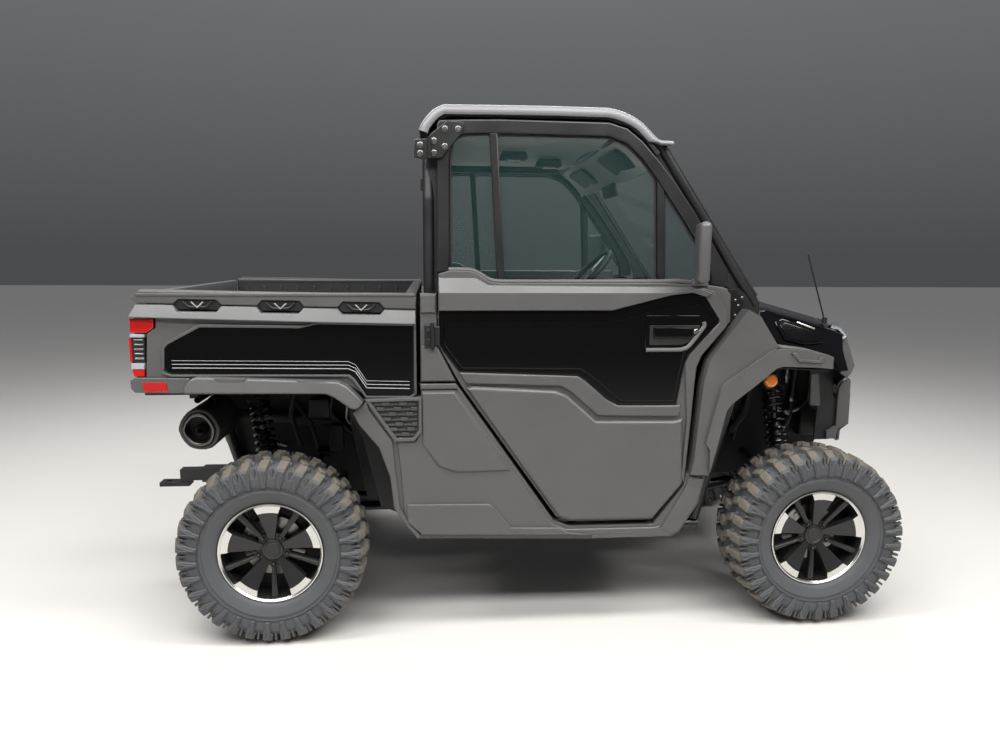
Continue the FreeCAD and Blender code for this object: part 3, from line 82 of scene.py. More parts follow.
def makeFinish(name, finish):
    material = bpy.data.materials.new(name)
    material.use_nodes = True
    tree = material.node_tree
    tree.nodes.clear()
    out = addNode(tree, "ShaderNodeOutputMaterial")
    place = addNode(tree, "ShaderNodeTexCoord").outputs["Object"]
    cloud = addNode(tree, "ShaderNodeTexNoise", {"Scale": 1 / (finish.get("cloud", 120) * mm), "Detail": 4.0},
                    {"Vector": place})
    colour = addNode(tree, "ShaderNodeMix", {"data_type": "RGBA"}, {})
    colour.inputs[6].default_value = linearColour(finish["dark"])
    colour.inputs[7].default_value = linearColour(finish["light"])
    tree.links.new(cloud.outputs[0], colour.inputs[0])
    low, high = finish["rough"]
    rough = addNode(tree, "ShaderNodeMapRange", {"From Min": 0.3, "From Max": 0.7, "To Min": low, "To Max": high},
                    {"Value": cloud.outputs[0]})
    shader = addNode(tree, "ShaderNodeBsdfPrincipled", {
        "Metallic": finish.get("metal", 0.0), "IOR": finish.get("ior", 1.5),
        "Coat Weight": finish.get("coat", 0.0), "Coat Roughness": finish.get("coatRough", 0.03),
        "Specular IOR Level": finish.get("shine", 0.5),
    }, {"Base Color": colour.outputs[2], "Roughness": rough.outputs[0]})
    if "grain" in finish:
        grain = addNode(tree, "ShaderNodeTexNoise", {"Scale": 1 / (finish["grain"] * mm), "Detail": 3.0},
                        {"Vector": place})
        bump = addNode(tree, "ShaderNodeBump", {"Strength": finish.get("bump", 0.3), "Distance": finish.get("deep",
                                                                                                            0.3) * mm},
                       {"Height": grain.outputs[0]})
        tree.links.new(bump.outputs[0], shader.inputs["Normal"])
    tree.links.new(shader.outputs[0], out.inputs[0])
    return material


finishes = {
    # polypropylene panels, moulded in colour with a fine leather grain: satin, no clear reflections
    "mouldedPlastic": {"dark": "#4a4949", "light": "#525150", "rough": (0.33, 0.42), "grain": 1.6, "bump": 0.25,
                       "deep": 0.2},
    # the bed's rail caps, same plastic a shade lighter
    "railPlastic": {"dark": "#585654", "light": "#605e5c", "rough": (0.42, 0.52), "grain": 1.6, "bump": 0.25,
                    "deep": 0.2},
    # grilles of the same plastic, moulded darker
    "trimPlastic": {"dark": "#333333", "light": "#3b3b3a", "rough": (0.35, 0.45), "grain": 1.6, "bump": 0.2,
                    "deep": 0.2},
    # stripes of printed vinyl film: even and pale, with a soft sheen
    "stripeFilm": {"dark": "#a9a9aa", "light": "#b6b6b7", "rough": (0.25, 0.32)},
    # the roof's thick sheet, moulded smoother
    "roofPlastic": {"dark": "#6c6b6d", "light": "#737274", "rough": (0.34, 0.42), "grain": 2.2, "bump": 0.12,
                    "deep": 0.2},
    # plastic moulded in a polished tool: deep black, with sharp reflections
    "glossPlastic": {"dark": "#050506", "light": "#070708", "rough": (0.03, 0.06), "shine": 0.28},
    # steel tube, powder coated: black satin with a fine orange-peel skin
    "powderSteel": {"dark": "#131314", "light": "#19191a", "rough": (0.36, 0.46), "grain": 1.2, "bump": 0.15,
                    "deep": 0.1},
    # tyre rubber, moulded: dull dark grey under its bloom of wax
    "tyreRubber": {"dark": "#414244", "light": "#4f5052", "rough": (0.6, 0.75), "grain": 1.4, "bump": 0.35,
                   "deep": 0.3, "cloud": 60},
    # cast alloy, sprayed satin black: smooth, with broad soft lights
    "wheelPaint": {"dark": "#171717", "light": "#1c1c1c", "rough": (0.3, 0.38)},
    # cast alloy with its face turned on the lathe: bright metal, nearly a mirror
    "turnedAlloy": {"dark": "#c9c8c4", "light": "#dcdbd7", "rough": (0.16, 0.26), "metal": 1.0},
    # steel, zinc plated: light grey metal, uneven in its sheen
    "platedSteel": {"dark": "#8d8c88", "light": "#a5a49f", "rough": (0.25, 0.4), "metal": 1.0},
    # iron, ground flat: warm grey metal
    "groundIron": {"dark": "#6d6a66", "light": "#8c8984", "rough": (0.25, 0.4), "metal": 1.0},
    # soft plastic of the cab, moulded with a grain: black, without lights of its own
    "cabPlastic": {"dark": "#141415", "light": "#1b1b1c", "rough": (0.5, 0.65), "grain": 1.8, "bump": 0.3, "deep": 0.3},
    # seat vinyl, embossed: black, with a low leathery sheen
    "seatVinyl": {"dark": "#161617", "light": "#1d1d1e", "rough": (0.4, 0.5), "grain": 2.0, "bump": 0.4, "deep": 0.3},
    # castings painted over their rough skin: dull black, coarse
    "castPaint": {"dark": "#101011", "light": "#1a1a1b", "rough": (0.5, 0.7), "grain": 3, "bump": 0.4, "deep": 0.5},
    # spring wire under thick black enamel: tight bright highlights
    "springEnamel": {"dark": "#0b0b0c", "light": "#101011", "rough": (0.14, 0.22), "cloud": 40},
    # hoses of extruded rubber: smooth, dull black
    "hoseRubber": {"dark": "#121213", "light": "#191919", "rough": (0.45, 0.6), "grain": 1.2, "bump": 0.2, "deep": 0.2},
    # felt of the roof's lining: pale and quite without shine
    "liningFelt": {"dark": "#c2c5c1", "light": "#d0d3cf", "rough": (0.85, 0.95), "grain": 2.0, "bump": 0.3,
                   "deep": 0.3},
    # muffler's heat-proof coat, baked on: dark grey, slightly rough
    "heatCoat": {"dark": "#2c2c2b", "light": "#373736", "rough": (0.35, 0.5), "grain": 1.5, "bump": 0.2, "deep": 0.2},
    # tread rubber under a film of dry dust
    "dustyRubber": {"dark": "#4c4842", "light": "#6e675d", "rough": (0.7, 0.9), "grain": 1.8, "bump": 0.3,
                    "deep": 0.3, "cloud": 18},
    # stainless trim that has been hot: darkened metal
    "warmSteel": {"dark": "#5f5d5b", "light": "#74716e", "rough": (0.28, 0.4), "metal": 1.0},
    # lamp lenses, moulded in clear and coloured acrylic: glassy gloss over an even colour
    "redLens": {"dark": "#a00f0c", "light": "#b5140f", "rough": (0.05, 0.1), "coat": 0.8},
    "clearLens": {"dark": "#8b8f94", "light": "#a3a7ab", "rough": (0.08, 0.12), "coat": 0.8},
    "amberLens": {"dark": "#c7640c", "light": "#e07a10", "rough": (0.08, 0.14), "coat": 0.8},
}
paint = {name: makeFinish(name, finish) for name, finish in finishes.items()}


def makeGlass(name, tint, rough, opaque):
    material = bpy.data.materials.new(name)
    material.use_nodes = True
    tree = material.node_tree
    tree.nodes.clear()
    out = addNode(tree, "ShaderNodeOutputMaterial")
    shader = addNode(tree, "ShaderNodeBsdfPrincipled", {"Base Color": linearColour(tint), "Roughness": rough,
                     "IOR": 1.5, "Alpha": opaque})
    tree.links.new(shader.outputs[0], out.inputs[0])
    return material


# safety glass with a faint green tint: a thin see-through film of colour, so that the cab inside stays lit
paint["tintedGlass"] = makeGlass("tintedGlass", "#35504f", 0.02, 0.13)
print("finishes ready", len(paint))

# shaping helpers


def finishPiece(bm, name, body, finish, stands=(), smooth=32):
    # millimetres to metres, normals, materials, and what the piece rides on and stands in for
    bmesh.ops.scale(bm, vec=(mm, mm, mm), verts=list(bm.verts))
    mesh = bpy.data.meshes.new(name)
    bm.to_mesh(mesh)
    bm.free()
    mesh.shade_smooth()
    mesh.set_sharp_from_angle(angle=math.radians(smooth))
    for face in mesh.polygons:  # broad flat faces keep their own normal
        if len(face.vertices) > 4 or abs(face.normal.y) > 0.9999:
            face.use_smooth = False
    for key in ([finish] if isinstance(finish, str) else finish):
        mesh.materials.append(paint[key])
    piece = bpy.data.objects.new(name, mesh)
    bpy.context.scene.collection.objects.link(piece)
    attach(piece, body)
    if stands:
        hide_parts(*stands)
    return piece


def newVerts(result):
    return [item for item in result["geom"] if isinstance(item, bmesh.types.BMVert)]


def joinMesh(bm, other, index=None):
    if index is not None:
        painted(other, index)
    mesh = bpy.data.meshes.new("part")
    other.to_mesh(mesh)
    other.free()
    bm.from_mesh(mesh)
    bpy.data.meshes.remove(mesh)
    return bm


def polar(radius, angle):
    return radius * math.sin(angle), radius * math.cos(angle)


def painted(bm, index):
    for face in bm.faces:
        face.material_index = index
    return bm


def moved(bm, vec):
    bmesh.ops.translate(bm, vec=vec, verts=list(bm.verts))
    return bm


def placed(bm, matrix):
    bmesh.ops.transform(bm, matrix=matrix, verts=list(bm.verts))
    return bm


def rolled(bm, angle, axis="Y"):
    bmesh.ops.rotate(bm, cent=(0, 0, 0), matrix=Matrix.Rotation(angle, 3, axis), verts=list(bm.verts))
    return bm


def faceOut(bm):
    bmesh.ops.recalc_face_normals(bm, faces=list(bm.faces))
    return bm


def bevelled(bm, geom, width, segments, affect="EDGES"):
    bmesh.ops.bevel(bm, geom=geom, offset=width, offset_type="OFFSET", segments=segments, profile=0.5, affect=affect,
                    clamp_overlap=True, material=-1)


def rowSkin(bm, grid, axis):
    # skin over rows of verts; its outer side looks along the axis
    for a, b in zip(grid, grid[1:]):
        for i in range(len(a) - 1):
            bm.faces.new((a[i], b[i], b[i + 1], a[i + 1]))
    faceOut(bm)
    bmesh.ops.remove_doubles(bm, verts=list(bm.verts), dist=0.01)
    bmesh.ops.dissolve_degenerate(bm, edges=list(bm.edges), dist=0.001)
    if sum(face.normal[axis] * face.calc_area() for face in bm.faces) < 0:
        bmesh.ops.reverse_faces(bm, faces=list(bm.faces))
    return bm


def softenEdges(bm, width, segments=2, angle=25):
    edges = [edge for edge in bm.edges if len(edge.link_faces) == 2 and edge.calc_face_angle(0) > math.radians(angle)]
    if edges:
        bevelled(bm, edges, width, segments)


def block(size, place=(0, 0, 0), taper=(1, 1), soft=1.5, segments=1, turn=None, shear=0.0):
    # cube with soft edges, its top tapered, slanted by the shear and turned last
    bm = bmesh.new()
    bmesh.ops.create_cube(bm, size=1)
    bmesh.ops.scale(bm, vec=size, verts=list(bm.verts))
    for vert in bm.verts:
        if vert.co.z > 0:
            vert.co.x *= taper[0]
            vert.co.y *= taper[1]
        vert.co.x += shear * vert.co.y
    if soft:
        softenEdges(bm, soft, segments)
    return placed(bm, Matrix.Translation(place) @ (Matrix() if turn is None else turn.to_4x4()))


def slab(outline, low, high, soft=3, segments=3, corner=0, axis="y", both=False):
    # outline drawn across the axis and extruded along it, with the far rim (or both) bevelled
    bm = bmesh.new()
    place = {"y": lambda a, b: (a, low, b), "z": lambda a, b: (a, b, low), "x": lambda a, b: (low, a, b)}[axis]
    bm.faces.new([bm.verts.new(place(*point)) for point in outline])
    if corner:
        bevelled(bm, list(bm.verts), corner, 3, "VERTICES")
    grown = bmesh.ops.extrude_face_region(bm, geom=list(bm.faces))
    top = newVerts(grown)
    bmesh.ops.translate(bm, vec=[(high - low) * (name == axis) for name in "xyz"], verts=top)
    if soft:
        level = {"x": 0, "y": 1, "z": 2}[axis]
        rims = [edge for edge in bm.edges if all(abs(v.co[level] - high) < 0.01 for v in edge.verts)]
        if both:
            rims += [edge for edge in bm.edges if all(abs(v.co[level] - low) < 0.01 for v in edge.verts)]
        bevelled(bm, rims, soft, segments)
    return faceOut(bm)


def spun(profile, steps=96):
    # closed profile of radius and y, spun round the y axis
    bm = bmesh.new()
    verts = [bm.verts.new((0, y, r)) for r, y in profile]
    edges = [bm.edges.new(pair) for pair in zip(verts, verts[1:] + verts[:1])]
    bmesh.ops.spin(bm, geom=verts + edges, cent=(0, 0, 0), axis=(0, 1, 0), angle=2 * math.pi, steps=steps,
                   use_merge=True, use_duplicate=False)
    bmesh.ops.remove_doubles(bm, verts=list(bm.verts), dist=0.01)
    return faceOut(bm)


def around(bm, source, count, start=0.0):
    # copies of the source, evenly round the y axis
    mesh = bpy.data.meshes.new("part")
    source.to_mesh(mesh)
    source.free()
    for i in range(count):
        copy = bmesh.new()
        copy.from_mesh(mesh)
        rolled(copy, start + 2 * math.pi * i / count)
        joinMesh(bm, copy)
    bpy.data.meshes.remove(mesh)
    return bm


# wheels, built about the origin with the outer face to +Y, in millimetres

tyreSizes = {"pitches": 31, "crown": 66, "fall": 0.32}  # crown: half of its flat width
rimSizes = {"lip": 199.0, "window": 187.0, "brightInner": 161.0, "brightAngle": 15.5, "dish": 34.0,
            "nutCircle": 57.0, "cap": 41.0, "face": 93.0,
            "hubEdge": 40, "spokeEnd": 188, "spokeLean": 16 / 126, "lean": math.radians(36), "squeeze": 0.94}


def tyreMesh():
    side = [(186, 80), (188, 92), (193, 100), (205, 107), (224, 112), (231, 115), (236, 115), (239, 113), (262, 117),
            (286, 117), (298, 113), (307, 105), (316, 90), (323, 62), (325, 0)]
    profile = side + [(r, -y) for r, y in reversed(side[:-1])]
    bm = spun(profile, steps=tyreSizes["pitches"] * 3)
    pitch = bmesh.new()
    step = 2 * math.pi / tyreSizes["pitches"]
    for hand in (1, -1):
        lean = 0.0 if hand > 0 else step / 2
        lugs = bmesh.new()
        # the shoulder lug and its flank, then a low bar beside it
        joinMesh(lugs, block((37, 54, 27), (0, 90 * hand, 327), (0.86, 0.94), 2.4, 1, shear=0.10), 1)
        joinMesh(lugs, block((31, 46, 26), (2, 30 * hand, 329), (0.84, 0.86), 2.4, 1,
                             Matrix.Rotation(math.radians(24 * hand), 3, "Z")), 1)
        joinMesh(lugs, block((15, 17, 14), (-22, 62 * hand, 328), (0.8, 0.8), 1.8, 1,
                             Matrix.Rotation(math.radians(-20 * hand), 3, "Z")))
        flank = [(-14, 338), (14, 338), (15, 314), (11, 294), (10, 270), (-6, 269), (-8, 290), (-14, 308)]
        joinMesh(lugs, slab(flank, 104 * hand, 126 * hand, 3.0, 1))
        crest = [(-11, 334), (-6, 335), (1, 312), (7, 331), (11, 331), (7, 302), (6, 280), (0, 280), (-2, 302)]
        joinMesh(lugs, slab(crest, 120 * hand, 129.0 * hand, 1.8, 1))
        for vert in lugs.verts:
            # the crown falls away over the shoulder
            vert.co.z -= max(0.0, abs(vert.co.y) - tyreSizes["crown"]) * tyreSizes["fall"]
        rolled(lugs, lean)
        joinMesh(pitch, lugs)
        rib = slab([(-4, 322), (4, 322), (4, 300), (1, 288), (-2, 288), (-4, 300)], 104 * hand, 118 * hand, 2.0, 1)
        rolled(rib, lean + step / 2)
        joinMesh(pitch, rib)
    faceOut(pitch)
    around(bm, pitch, tyreSizes["pitches"])
    # fine ribs moulded on the sidewall
    for radius in (248, 253):
        for hand in (1, -1):
            joinMesh(bm, spun([(radius - 0.8, 114 * hand), (radius, 117.3 * hand), (radius + 0.8, 114 * hand)],
                              steps=102))
    return bm


def wedgeMesh(bright):
    outer = rimSizes["window"] + 1 if bright else rimSizes["brightInner"] + 0.5
    inner = rimSizes["brightInner"] if bright else rimSizes["hubEdge"]
    wide = math.radians(rimSizes["brightAngle"] if bright else 13.6)
    slim = math.radians(13.8 if bright else 15)
    outline = [polar(outer, -wide + 2 * wide * i / 8) for i in range(9)]
    outline += [polar(inner, slim - 2 * slim * i / 4) for i in range(5)]
    bm = slab(outline, rimSizes["face"] - 30, rimSizes["face"], 1.2, 2)
    for vert in bm.verts:
        reach = max(0.0, rimSizes["brightInner"] - math.hypot(vert.co.x, vert.co.z))
        vert.co.y -= reach / (rimSizes["brightInner"] - rimSizes["hubEdge"]) * rimSizes["dish"] + (0 if bright else 1.5)
    return bm


def rimMesh():
    bm = bmesh.new()
    lip = rimSizes["lip"]
    barrel = [(lip, 96), (lip + 2, 92), (lip, 88), (190, 84), (187, 60), (184, -30), (190, -84), (lip, -90),
              (lip, -96), (194, -96), (186, -84), (180, -30), (182, 60), (186, 84), (192, 92), (195, 96)]
    joinMesh(bm, spun(barrel, 120), 0)
    ring = [(lip - 3, 93), (lip - 2, 97), (lip - 6, 97.5), (rimSizes["window"] + 3, 95), (rimSizes["window"], 92),
            (rimSizes["window"], 84), (lip - 4, 84)]
    joinMesh(bm, spun(ring, 120), 1)
    around(bm, painted(wedgeMesh(True), 1), 5)
    around(bm, painted(wedgeMesh(False), 0), 5)
    # slim spokes that carry the nut seats
    slim = slab([(-7, 62), (7, 62), (12, 188), (-12, 188)], 56, 80, 1.6, 2)
    for vert in slim.verts:
        vert.co.y -= (rimSizes["spokeEnd"] - vert.co.z) * rimSizes["spokeLean"]
    joinMesh(slim, slab([(-2.5, 74), (2.5, 74), (4.5, 184), (-4.5, 184)], 60, 82.5, 1.0, 1))
    for vert in slim.verts:
        if vert.co.y > 80.5:
            vert.co.y -= (rimSizes["spokeEnd"] - vert.co.z) * rimSizes["spokeLean"]
    around(bm, painted(slim, 0), 5, start=rimSizes["lean"])
    hub = [(0, 30), (62, 30), (64, 52), (58, 56), (48, 57), (46, 54), (0, 54)]
    joinMesh(bm, spun(hub, 60), 0)
    seat = spun([(9.5, 50), (9.5, 58), (11.5, 60), (14.5, 60), (15.5, 56), (15.5, 40), (9.5, 40)], 24)
    moved(seat, (0, 0, rimSizes["nutCircle"]))
    around(bm, painted(seat, 0), 5, start=rimSizes["lean"])
    nut = bmesh.new()
    bmesh.ops.create_cone(nut, cap_ends=True, segments=6, radius1=8.5, radius2=8.0, depth=22)
    rolled(nut, math.radians(-90), "X")
    softenEdges(nut, 1.0, 2)
    dome = bmesh.new()
    bmesh.ops.create_uvsphere(dome, u_segments=16, v_segments=8, radius=6.2)
    moved(dome, (0, 9.5, 0))
    joinMesh(nut, dome)
    moved(nut, (0, 55, rimSizes["nutCircle"]))
    around(bm, painted(nut, 2), 5, start=rimSizes["lean"])
    cap = rimSizes["cap"]
    face = [(0, 63.5), (cap - 15, 63.5), (cap - 14, 62.3), (cap - 11, 62.3), (cap - 10, 63.5), (cap - 4, 63),
            (cap - 1, 61), (cap, 56), (cap, 50), (0, 50)]
    joinMesh(bm, spun(face, 64), 0)
    bmesh.ops.scale(bm, vec=(rimSizes["squeeze"], 1, rimSizes["squeeze"]), verts=list(bm.verts))
    return bm


def brakeMesh():
    bm = bmesh.new()
    outer = []
    for i in range(48):
        turn = 2 * math.pi * i / 48
        reach = 112 if i % 4 < 3 else 106
        outer.append(polar(reach, turn))
    joinMesh(bm, slab(outer, 12, 17, 0.8, 1))
    return bm


def brakeGear():
    # calliper over the disc, with a dust shield behind that closes the view through the spokes
    bm = spun([(46, -4), (168, -4), (172, -1), (172, 1), (46, 1)], 48)
    painted(bm, 1)
    arc = [polar(126, math.radians(-30 + 10 * i)) for i in range(7)]
    arc += [polar(74, math.radians(30 - 10 * i)) for i in range(7)]
    joinMesh(bm, slab(arc, -2, 34, 5, 3), 0)
    for turn in (-20, 0, 20):
        x, z = polar(100, math.radians(turn))
        pin = spun([(0, 38), (7, 38), (9, 36), (9, 30), (0, 30)], 16)
        moved(pin, (x, 0, z))
        joinMesh(bm, pin, 2)
    return bm


def placeWheel(bm, x, y, z, outward, turn=0.0):
    matrix = Matrix.Translation((x, y, z)) @ Matrix.Rotation(0 if outward > 0 else math.pi, 4,
                                                             "Z") @ Matrix.Rotation(turn, 4, "Y")
    return placed(bm, matrix)


wheels = {}
for joint in frame["joints"]:
    if joint["name"].startswith("wheel_"):
        wheels[joint["child"]] = [value / mm for value in joint["pos_m"]]
for body, (x, y, z) in wheels.items():
    corner = body.replace("wheel_", "")
    outward = 1 if y > 0 else -1
    turn = math.radians({"rear_right": 2, "front_right": -4}.get(corner, 11))
    finishPiece(placeWheel(tyreMesh(), x, y, z, outward, turn), "tyre_" + corner + "_skin", body,
                ("tyreRubber", "dustyRubber"), ("tyre_" + corner,), 40)
    finishPiece(placeWheel(rimMesh(), x, y, z, outward, turn), "rim_" + corner + "_skin", body,
                ("wheelPaint", "turnedAlloy", "wheelPaint"), ("rim_" + corner,), 32)
    finishPiece(placeWheel(brakeMesh(), x, y, z, outward, turn), "brake_disc_" + corner, body, "groundIron")
    carrier = "knuckle_" + corner[6:] if corner.startswith("front") else "chassis"
    finishPiece(placeWheel(brakeGear(), x, y, z, outward, math.radians(62)), "brake_calliper_" + corner, carrier,
                ("platedSteel", "castPaint", "platedSteel"), (), 30)
print("wheels ready")


def flipped(bm):
    bmesh.ops.scale(bm, vec=(1, -1, 1), verts=list(bm.verts))
    bmesh.ops.reverse_faces(bm, faces=list(bm.faces))
    return bm


def onBothSides(make, name, body, finish, stands=(), smooth=32):
    # made for the right and mirrored for the left; {} in the name of a body or node is the side
    for side in ("right", "left"):
        bm = make() if side == "right" else flipped(make())
        finishPiece(bm, f"{name}_{side}", body.format(side), finish, [node.format(side) for node in stands],
                    smooth)


def frameSlab(outer, inner, low, high, soft=3, segments=2):
    # ring between two loops of as many points
    bm = bmesh.new()
    edges = []
    for loop in (outer, inner):
        verts = [bm.verts.new((x, low, z)) for x, z in loop]
        edges += [bm.edges.new((a, b)) for a, b in zip(verts, verts[1:] + verts[:1])]
    bmesh.ops.bridge_loops(bm, edges=edges)
    grown = bmesh.ops.extrude_face_region(bm, geom=list(bm.faces))
    bmesh.ops.translate(bm, vec=(0, high - low, 0), verts=newVerts(grown))
    rims = [edge for edge in bm.edges if all(abs(v.co.y - high) < 0.01 for v in edge.verts)
            and len(edge.link_faces) == 2 and edge.calc_face_angle(0) > 0.5]
    bevelled(bm, rims, soft, segments)
    return faceOut(bm)


def bar(points, radius, steps=10):
    # round bar along a path, closed at its ends
    curve = bpy.data.curves.new("bar", "CURVE")
    curve.dimensions = "3D"
    curve.bevel_depth = radius
    curve.bevel_resolution = max(1, steps // 4)
    curve.use_fill_caps = True
    line = curve.splines.new("POLY")
    line.points.add(len(points) - 1)
    for spot, point in zip(line.points, points):
        spot.co = (*point, 1)
    holder = bpy.data.objects.new("bar", curve)
    mesh = bpy.data.meshes.new_from_object(holder)
    bm = bmesh.new()
    bm.from_mesh(mesh)
    bmesh.ops.remove_doubles(bm, verts=list(bm.verts), dist=0.01)
    bpy.data.objects.remove(holder)
    bpy.data.meshes.remove(mesh)
    return faceOut(bm)


def rounded(points, radius, steps=5):
    # path with its inner corners turned into short curves
    path = [Vector(points[0])]
    for before, corner, after in zip(points, points[1:], points[2:]):
        before, corner, after = Vector(before), Vector(corner), Vector(after)
        reach = min(radius, (before - corner).length * 0.48, (after - corner).length * 0.48)
        start = corner + (before - corner).normalized() * reach
        end = corner + (after - corner).normalized() * reach
        for i in range(steps + 1):
            t = i / steps
            path.append(start.lerp(corner, t).lerp(corner.lerp(end, t), t))
    path.append(Vector(points[-1]))
    return path


# doors

door = {
    "skin": -742, "back": -712, "face": -738, "soft": 5,
    "outline": [(-272, 1340), (-274, 1207), (-275, 1090), (-197, 948), (160, 443), (211, 425), (524, 424), (634, 566),
                (656, 810), (672, 1003), (690, 1047), (772, 1150), (790, 1172), (786, 1270), (770, 1290), (735, 1300),
                (660, 1306), (519, 1312), (-58, 1310), (-90, 1314), (-132, 1342), (-157, 1352), (-227, 1354)],
}


def leanIn(bm, low, high, reach):
    # outer skin leans toward the middle as it rises, so that it catches the light from above
    for vert in bm.verts:
        if vert.co.y < door["face"]:
            share = max(0.0, min(1.0, (vert.co.z - low) / (high - low)))
            vert.co.y += share * reach * min(1.0, (door["face"] - vert.co.y) / 6)
    return bm


def doorLower():
    bm = slab(door["outline"], door["back"], door["skin"], door["soft"], 3)
    # belt band: an upper facet that leans in and a flat one below it
    upper = slab([(-273, 1340), (-168, 1340), (-140, 1328), (-97, 1303), (628, 1298), (668, 1288), (555, 1272),
                  (-272, 1272)],
                 door["face"], -766, 4, 3)
    leanIn(upper, 1272, 1340, 30)
    joinMesh(bm, upper)
    lowerBand = slab([(-272, 1276), (560, 1276), (668, 1292), (712, 1274), (688, 1262), (640, 1277), (560, 1268),
                      (346, 1214),
                      (-272, 1213)], door["face"], -764, 4, 3)
    joinMesh(bm, lowerBand)
    # raised border that turns down the front edge
    border = [(668, 1296), (720, 1282), (772, 1212), (774, 1156), (682, 1046), (666, 1003), (656, 812), (640, 566),
              (628, 590), (640, 814), (624, 1020), (640, 1052), (744, 1168), (744, 1181), (706, 1236), (688, 1264)]
    joinMesh(bm, slab(border, door["face"], -752, 4, 3))
    # stepped band under the insert
    band = [(-203, 993), (228, 976), (256, 958), (338, 887), (380, 866), (600, 864), (612, 866), (614, 834), (602, 822),
            (304, 829), (202, 919), (165, 940), (-176, 952)]
    joinMesh(bm, slab(band, door["face"], -754, 7, 3))
    # lower panel with its soft raised face
    lower = [(-176, 936), (-150, 943), (148, 925), (190, 908), (300, 811), (590, 808), (624, 816), (634, 566),
             (524, 430), (207, 431), (164, 448)]
    joinMesh(bm, slab(lower, door["face"], -760, 15, 5))
    return bm


def doorSill():
    path = [(-236, -733, 1356), (-157, -733, 1355), (-128, -733, 1342), (-92, -733, 1318), (-56, -733, 1314),
            (519, -733, 1316), (600, -733, 1318), (690, -733, 1306)]
    bm = bar(rounded(path, 22), 8.5, 12)
    joinMesh(bm, slab([(-236, 1356), (-157, 1355), (-128, 1342), (-92, 1318), (-56, 1314), (519, 1316), (600, 1318),
                       (690, 1306), (690, 1296), (-236, 1300)], -715, -733, 0))
    return bm


def doorInsert():
    outline = [(-271, 1211), (347, 1211), (556, 1267), (640, 1275), (690, 1262), (714, 1230), (744, 1180), (744, 1166),
               (640, 1053), (624, 1019), (600, 866), (380, 868), (338, 889), (256, 960), (228, 978), (-200, 992),
               (-258, 1069), (-273, 1097)]
    bm = slab(outline, door["face"], -748, 5, 3)
    inner = [(-255, 1176), (347, 1174), (528, 1220), (676, 1238), (728, 1176), (618, 1050), (588, 878), (386, 880),
             (262, 984), (232, 1000), (-192, 1006), (-244, 1076), (-257, 1100)]
    joinMesh(bm, slab(inner, -745, -753, 5.5, 3))
    return bm


def doorHandle():
    bm = slab([(470, 1196), (668, 1196), (690, 1174), (640, 1098), (612, 1066), (488, 1066), (470, 1080)], -748,
              -754.5, 3, 3)
    painted(bm, 1)
    well = slab([(486, 1160), (672, 1160), (666, 1110), (604, 1088), (486, 1088)], -752, -755.5, 1.5, 2)
    joinMesh(bm, well, 0)
    paddle = slab([(499, 1153), (640, 1152), (644, 1148), (642, 1120), (636, 1116), (500, 1117)], -754, -764, 3, 3)
    joinMesh(bm, paddle, 1)
    lock = spun([(0, -766), (8, -766), (10, -764), (10, -752), (0, -752)], 20)
    moved(lock, (656, 0, 1138))
    joinMesh(bm, lock, 3)
    path = [(474, -757, 1071), (606, -757, 1071), (632, -757, 1082), (688, -757, 1158), (684, -757, 1172)]
    lip = bar(rounded(path, 16), 7.5, 12)
    joinMesh(bm, lip, 2)
    return bm


def doorFrame():
    outer = [(-277, 1345), (-275, 1737), (-274, 1852), (-264, 1864), (-180, 1868), (-55, 1871), (330, 1868),
             (395, 1849),
             (451, 1807), (509, 1746), (568, 1677), (648, 1571), (720, 1462), (772, 1379), (789, 1333), (786, 1296)]
    inner = [(-232, 1345), (-231, 1736), (-229, 1790), (-180, 1820), (-78, 1824), (332, 1821), (397, 1797), (454, 1745),
             (507, 1680), (540, 1634), (612, 1536), (673, 1445), (700, 1400), (716, 1360), (724, 1330), (724, 1300)]
    bm = bmesh.new()
    # three bars of the frame stand in one plane; the sill closes it below
    outline = outer + list(reversed(inner))
    joinMesh(bm, slab(outline, -664, -703, 6, 3, both=True))
    joinMesh(bm, slab([(-92, 1826), (-64, 1826), (-35, 1318), (-62, 1318)], -676, -699, 4, 2, both=True))
    joinMesh(bm, slab([(508, 1676), (536, 1640), (552, 1318), (524, 1318)], -676, -699, 4, 2, both=True))
    return bm


def doorGlass():
    panes = bmesh.new()
    joinMesh(panes, slab([(-238, 1330), (-238, 1736), (-222, 1800), (-180, 1826), (-72, 1828), (-44, 1330)], -684,
                         -688, 0))
    joinMesh(panes, slab([(-66, 1826), (332, 1826), (400, 1800), (458, 1748), (514, 1676), (532, 1330), (-40, 1326)],
                         -680, -684, 0))
    joinMesh(panes, slab([(540, 1640), (618, 1540), (680, 1446), (706, 1400), (730, 1330), (548, 1326)], -684, -688, 0))
    return panes


def glassSeal():
    bm = bar(rounded([(-228, -690, 1340), (-227, -690, 1740), (-216, -690, 1798), (-180, -690, 1816), (-84, -690, 1820),
                      (-52, -690, 1332)], 20), 3.5, 8)
    joinMesh(bm, bar(rounded([(-38, -688, 1330), (-68, -688, 1818), (332, -688, 1817), (396, -688, 1792),
                              (450, -688, 1742),
                              (504, -688, 1676), (520, -688, 1330)], 20), 3.5, 8))
    joinMesh(bm, bar(rounded([(552, -690, 1330), (540, -690, 1626), (610, -690, 1532), (668, -690, 1442),
                              (716, -690, 1350)],
                             8), 3.5, 8))
    return bm


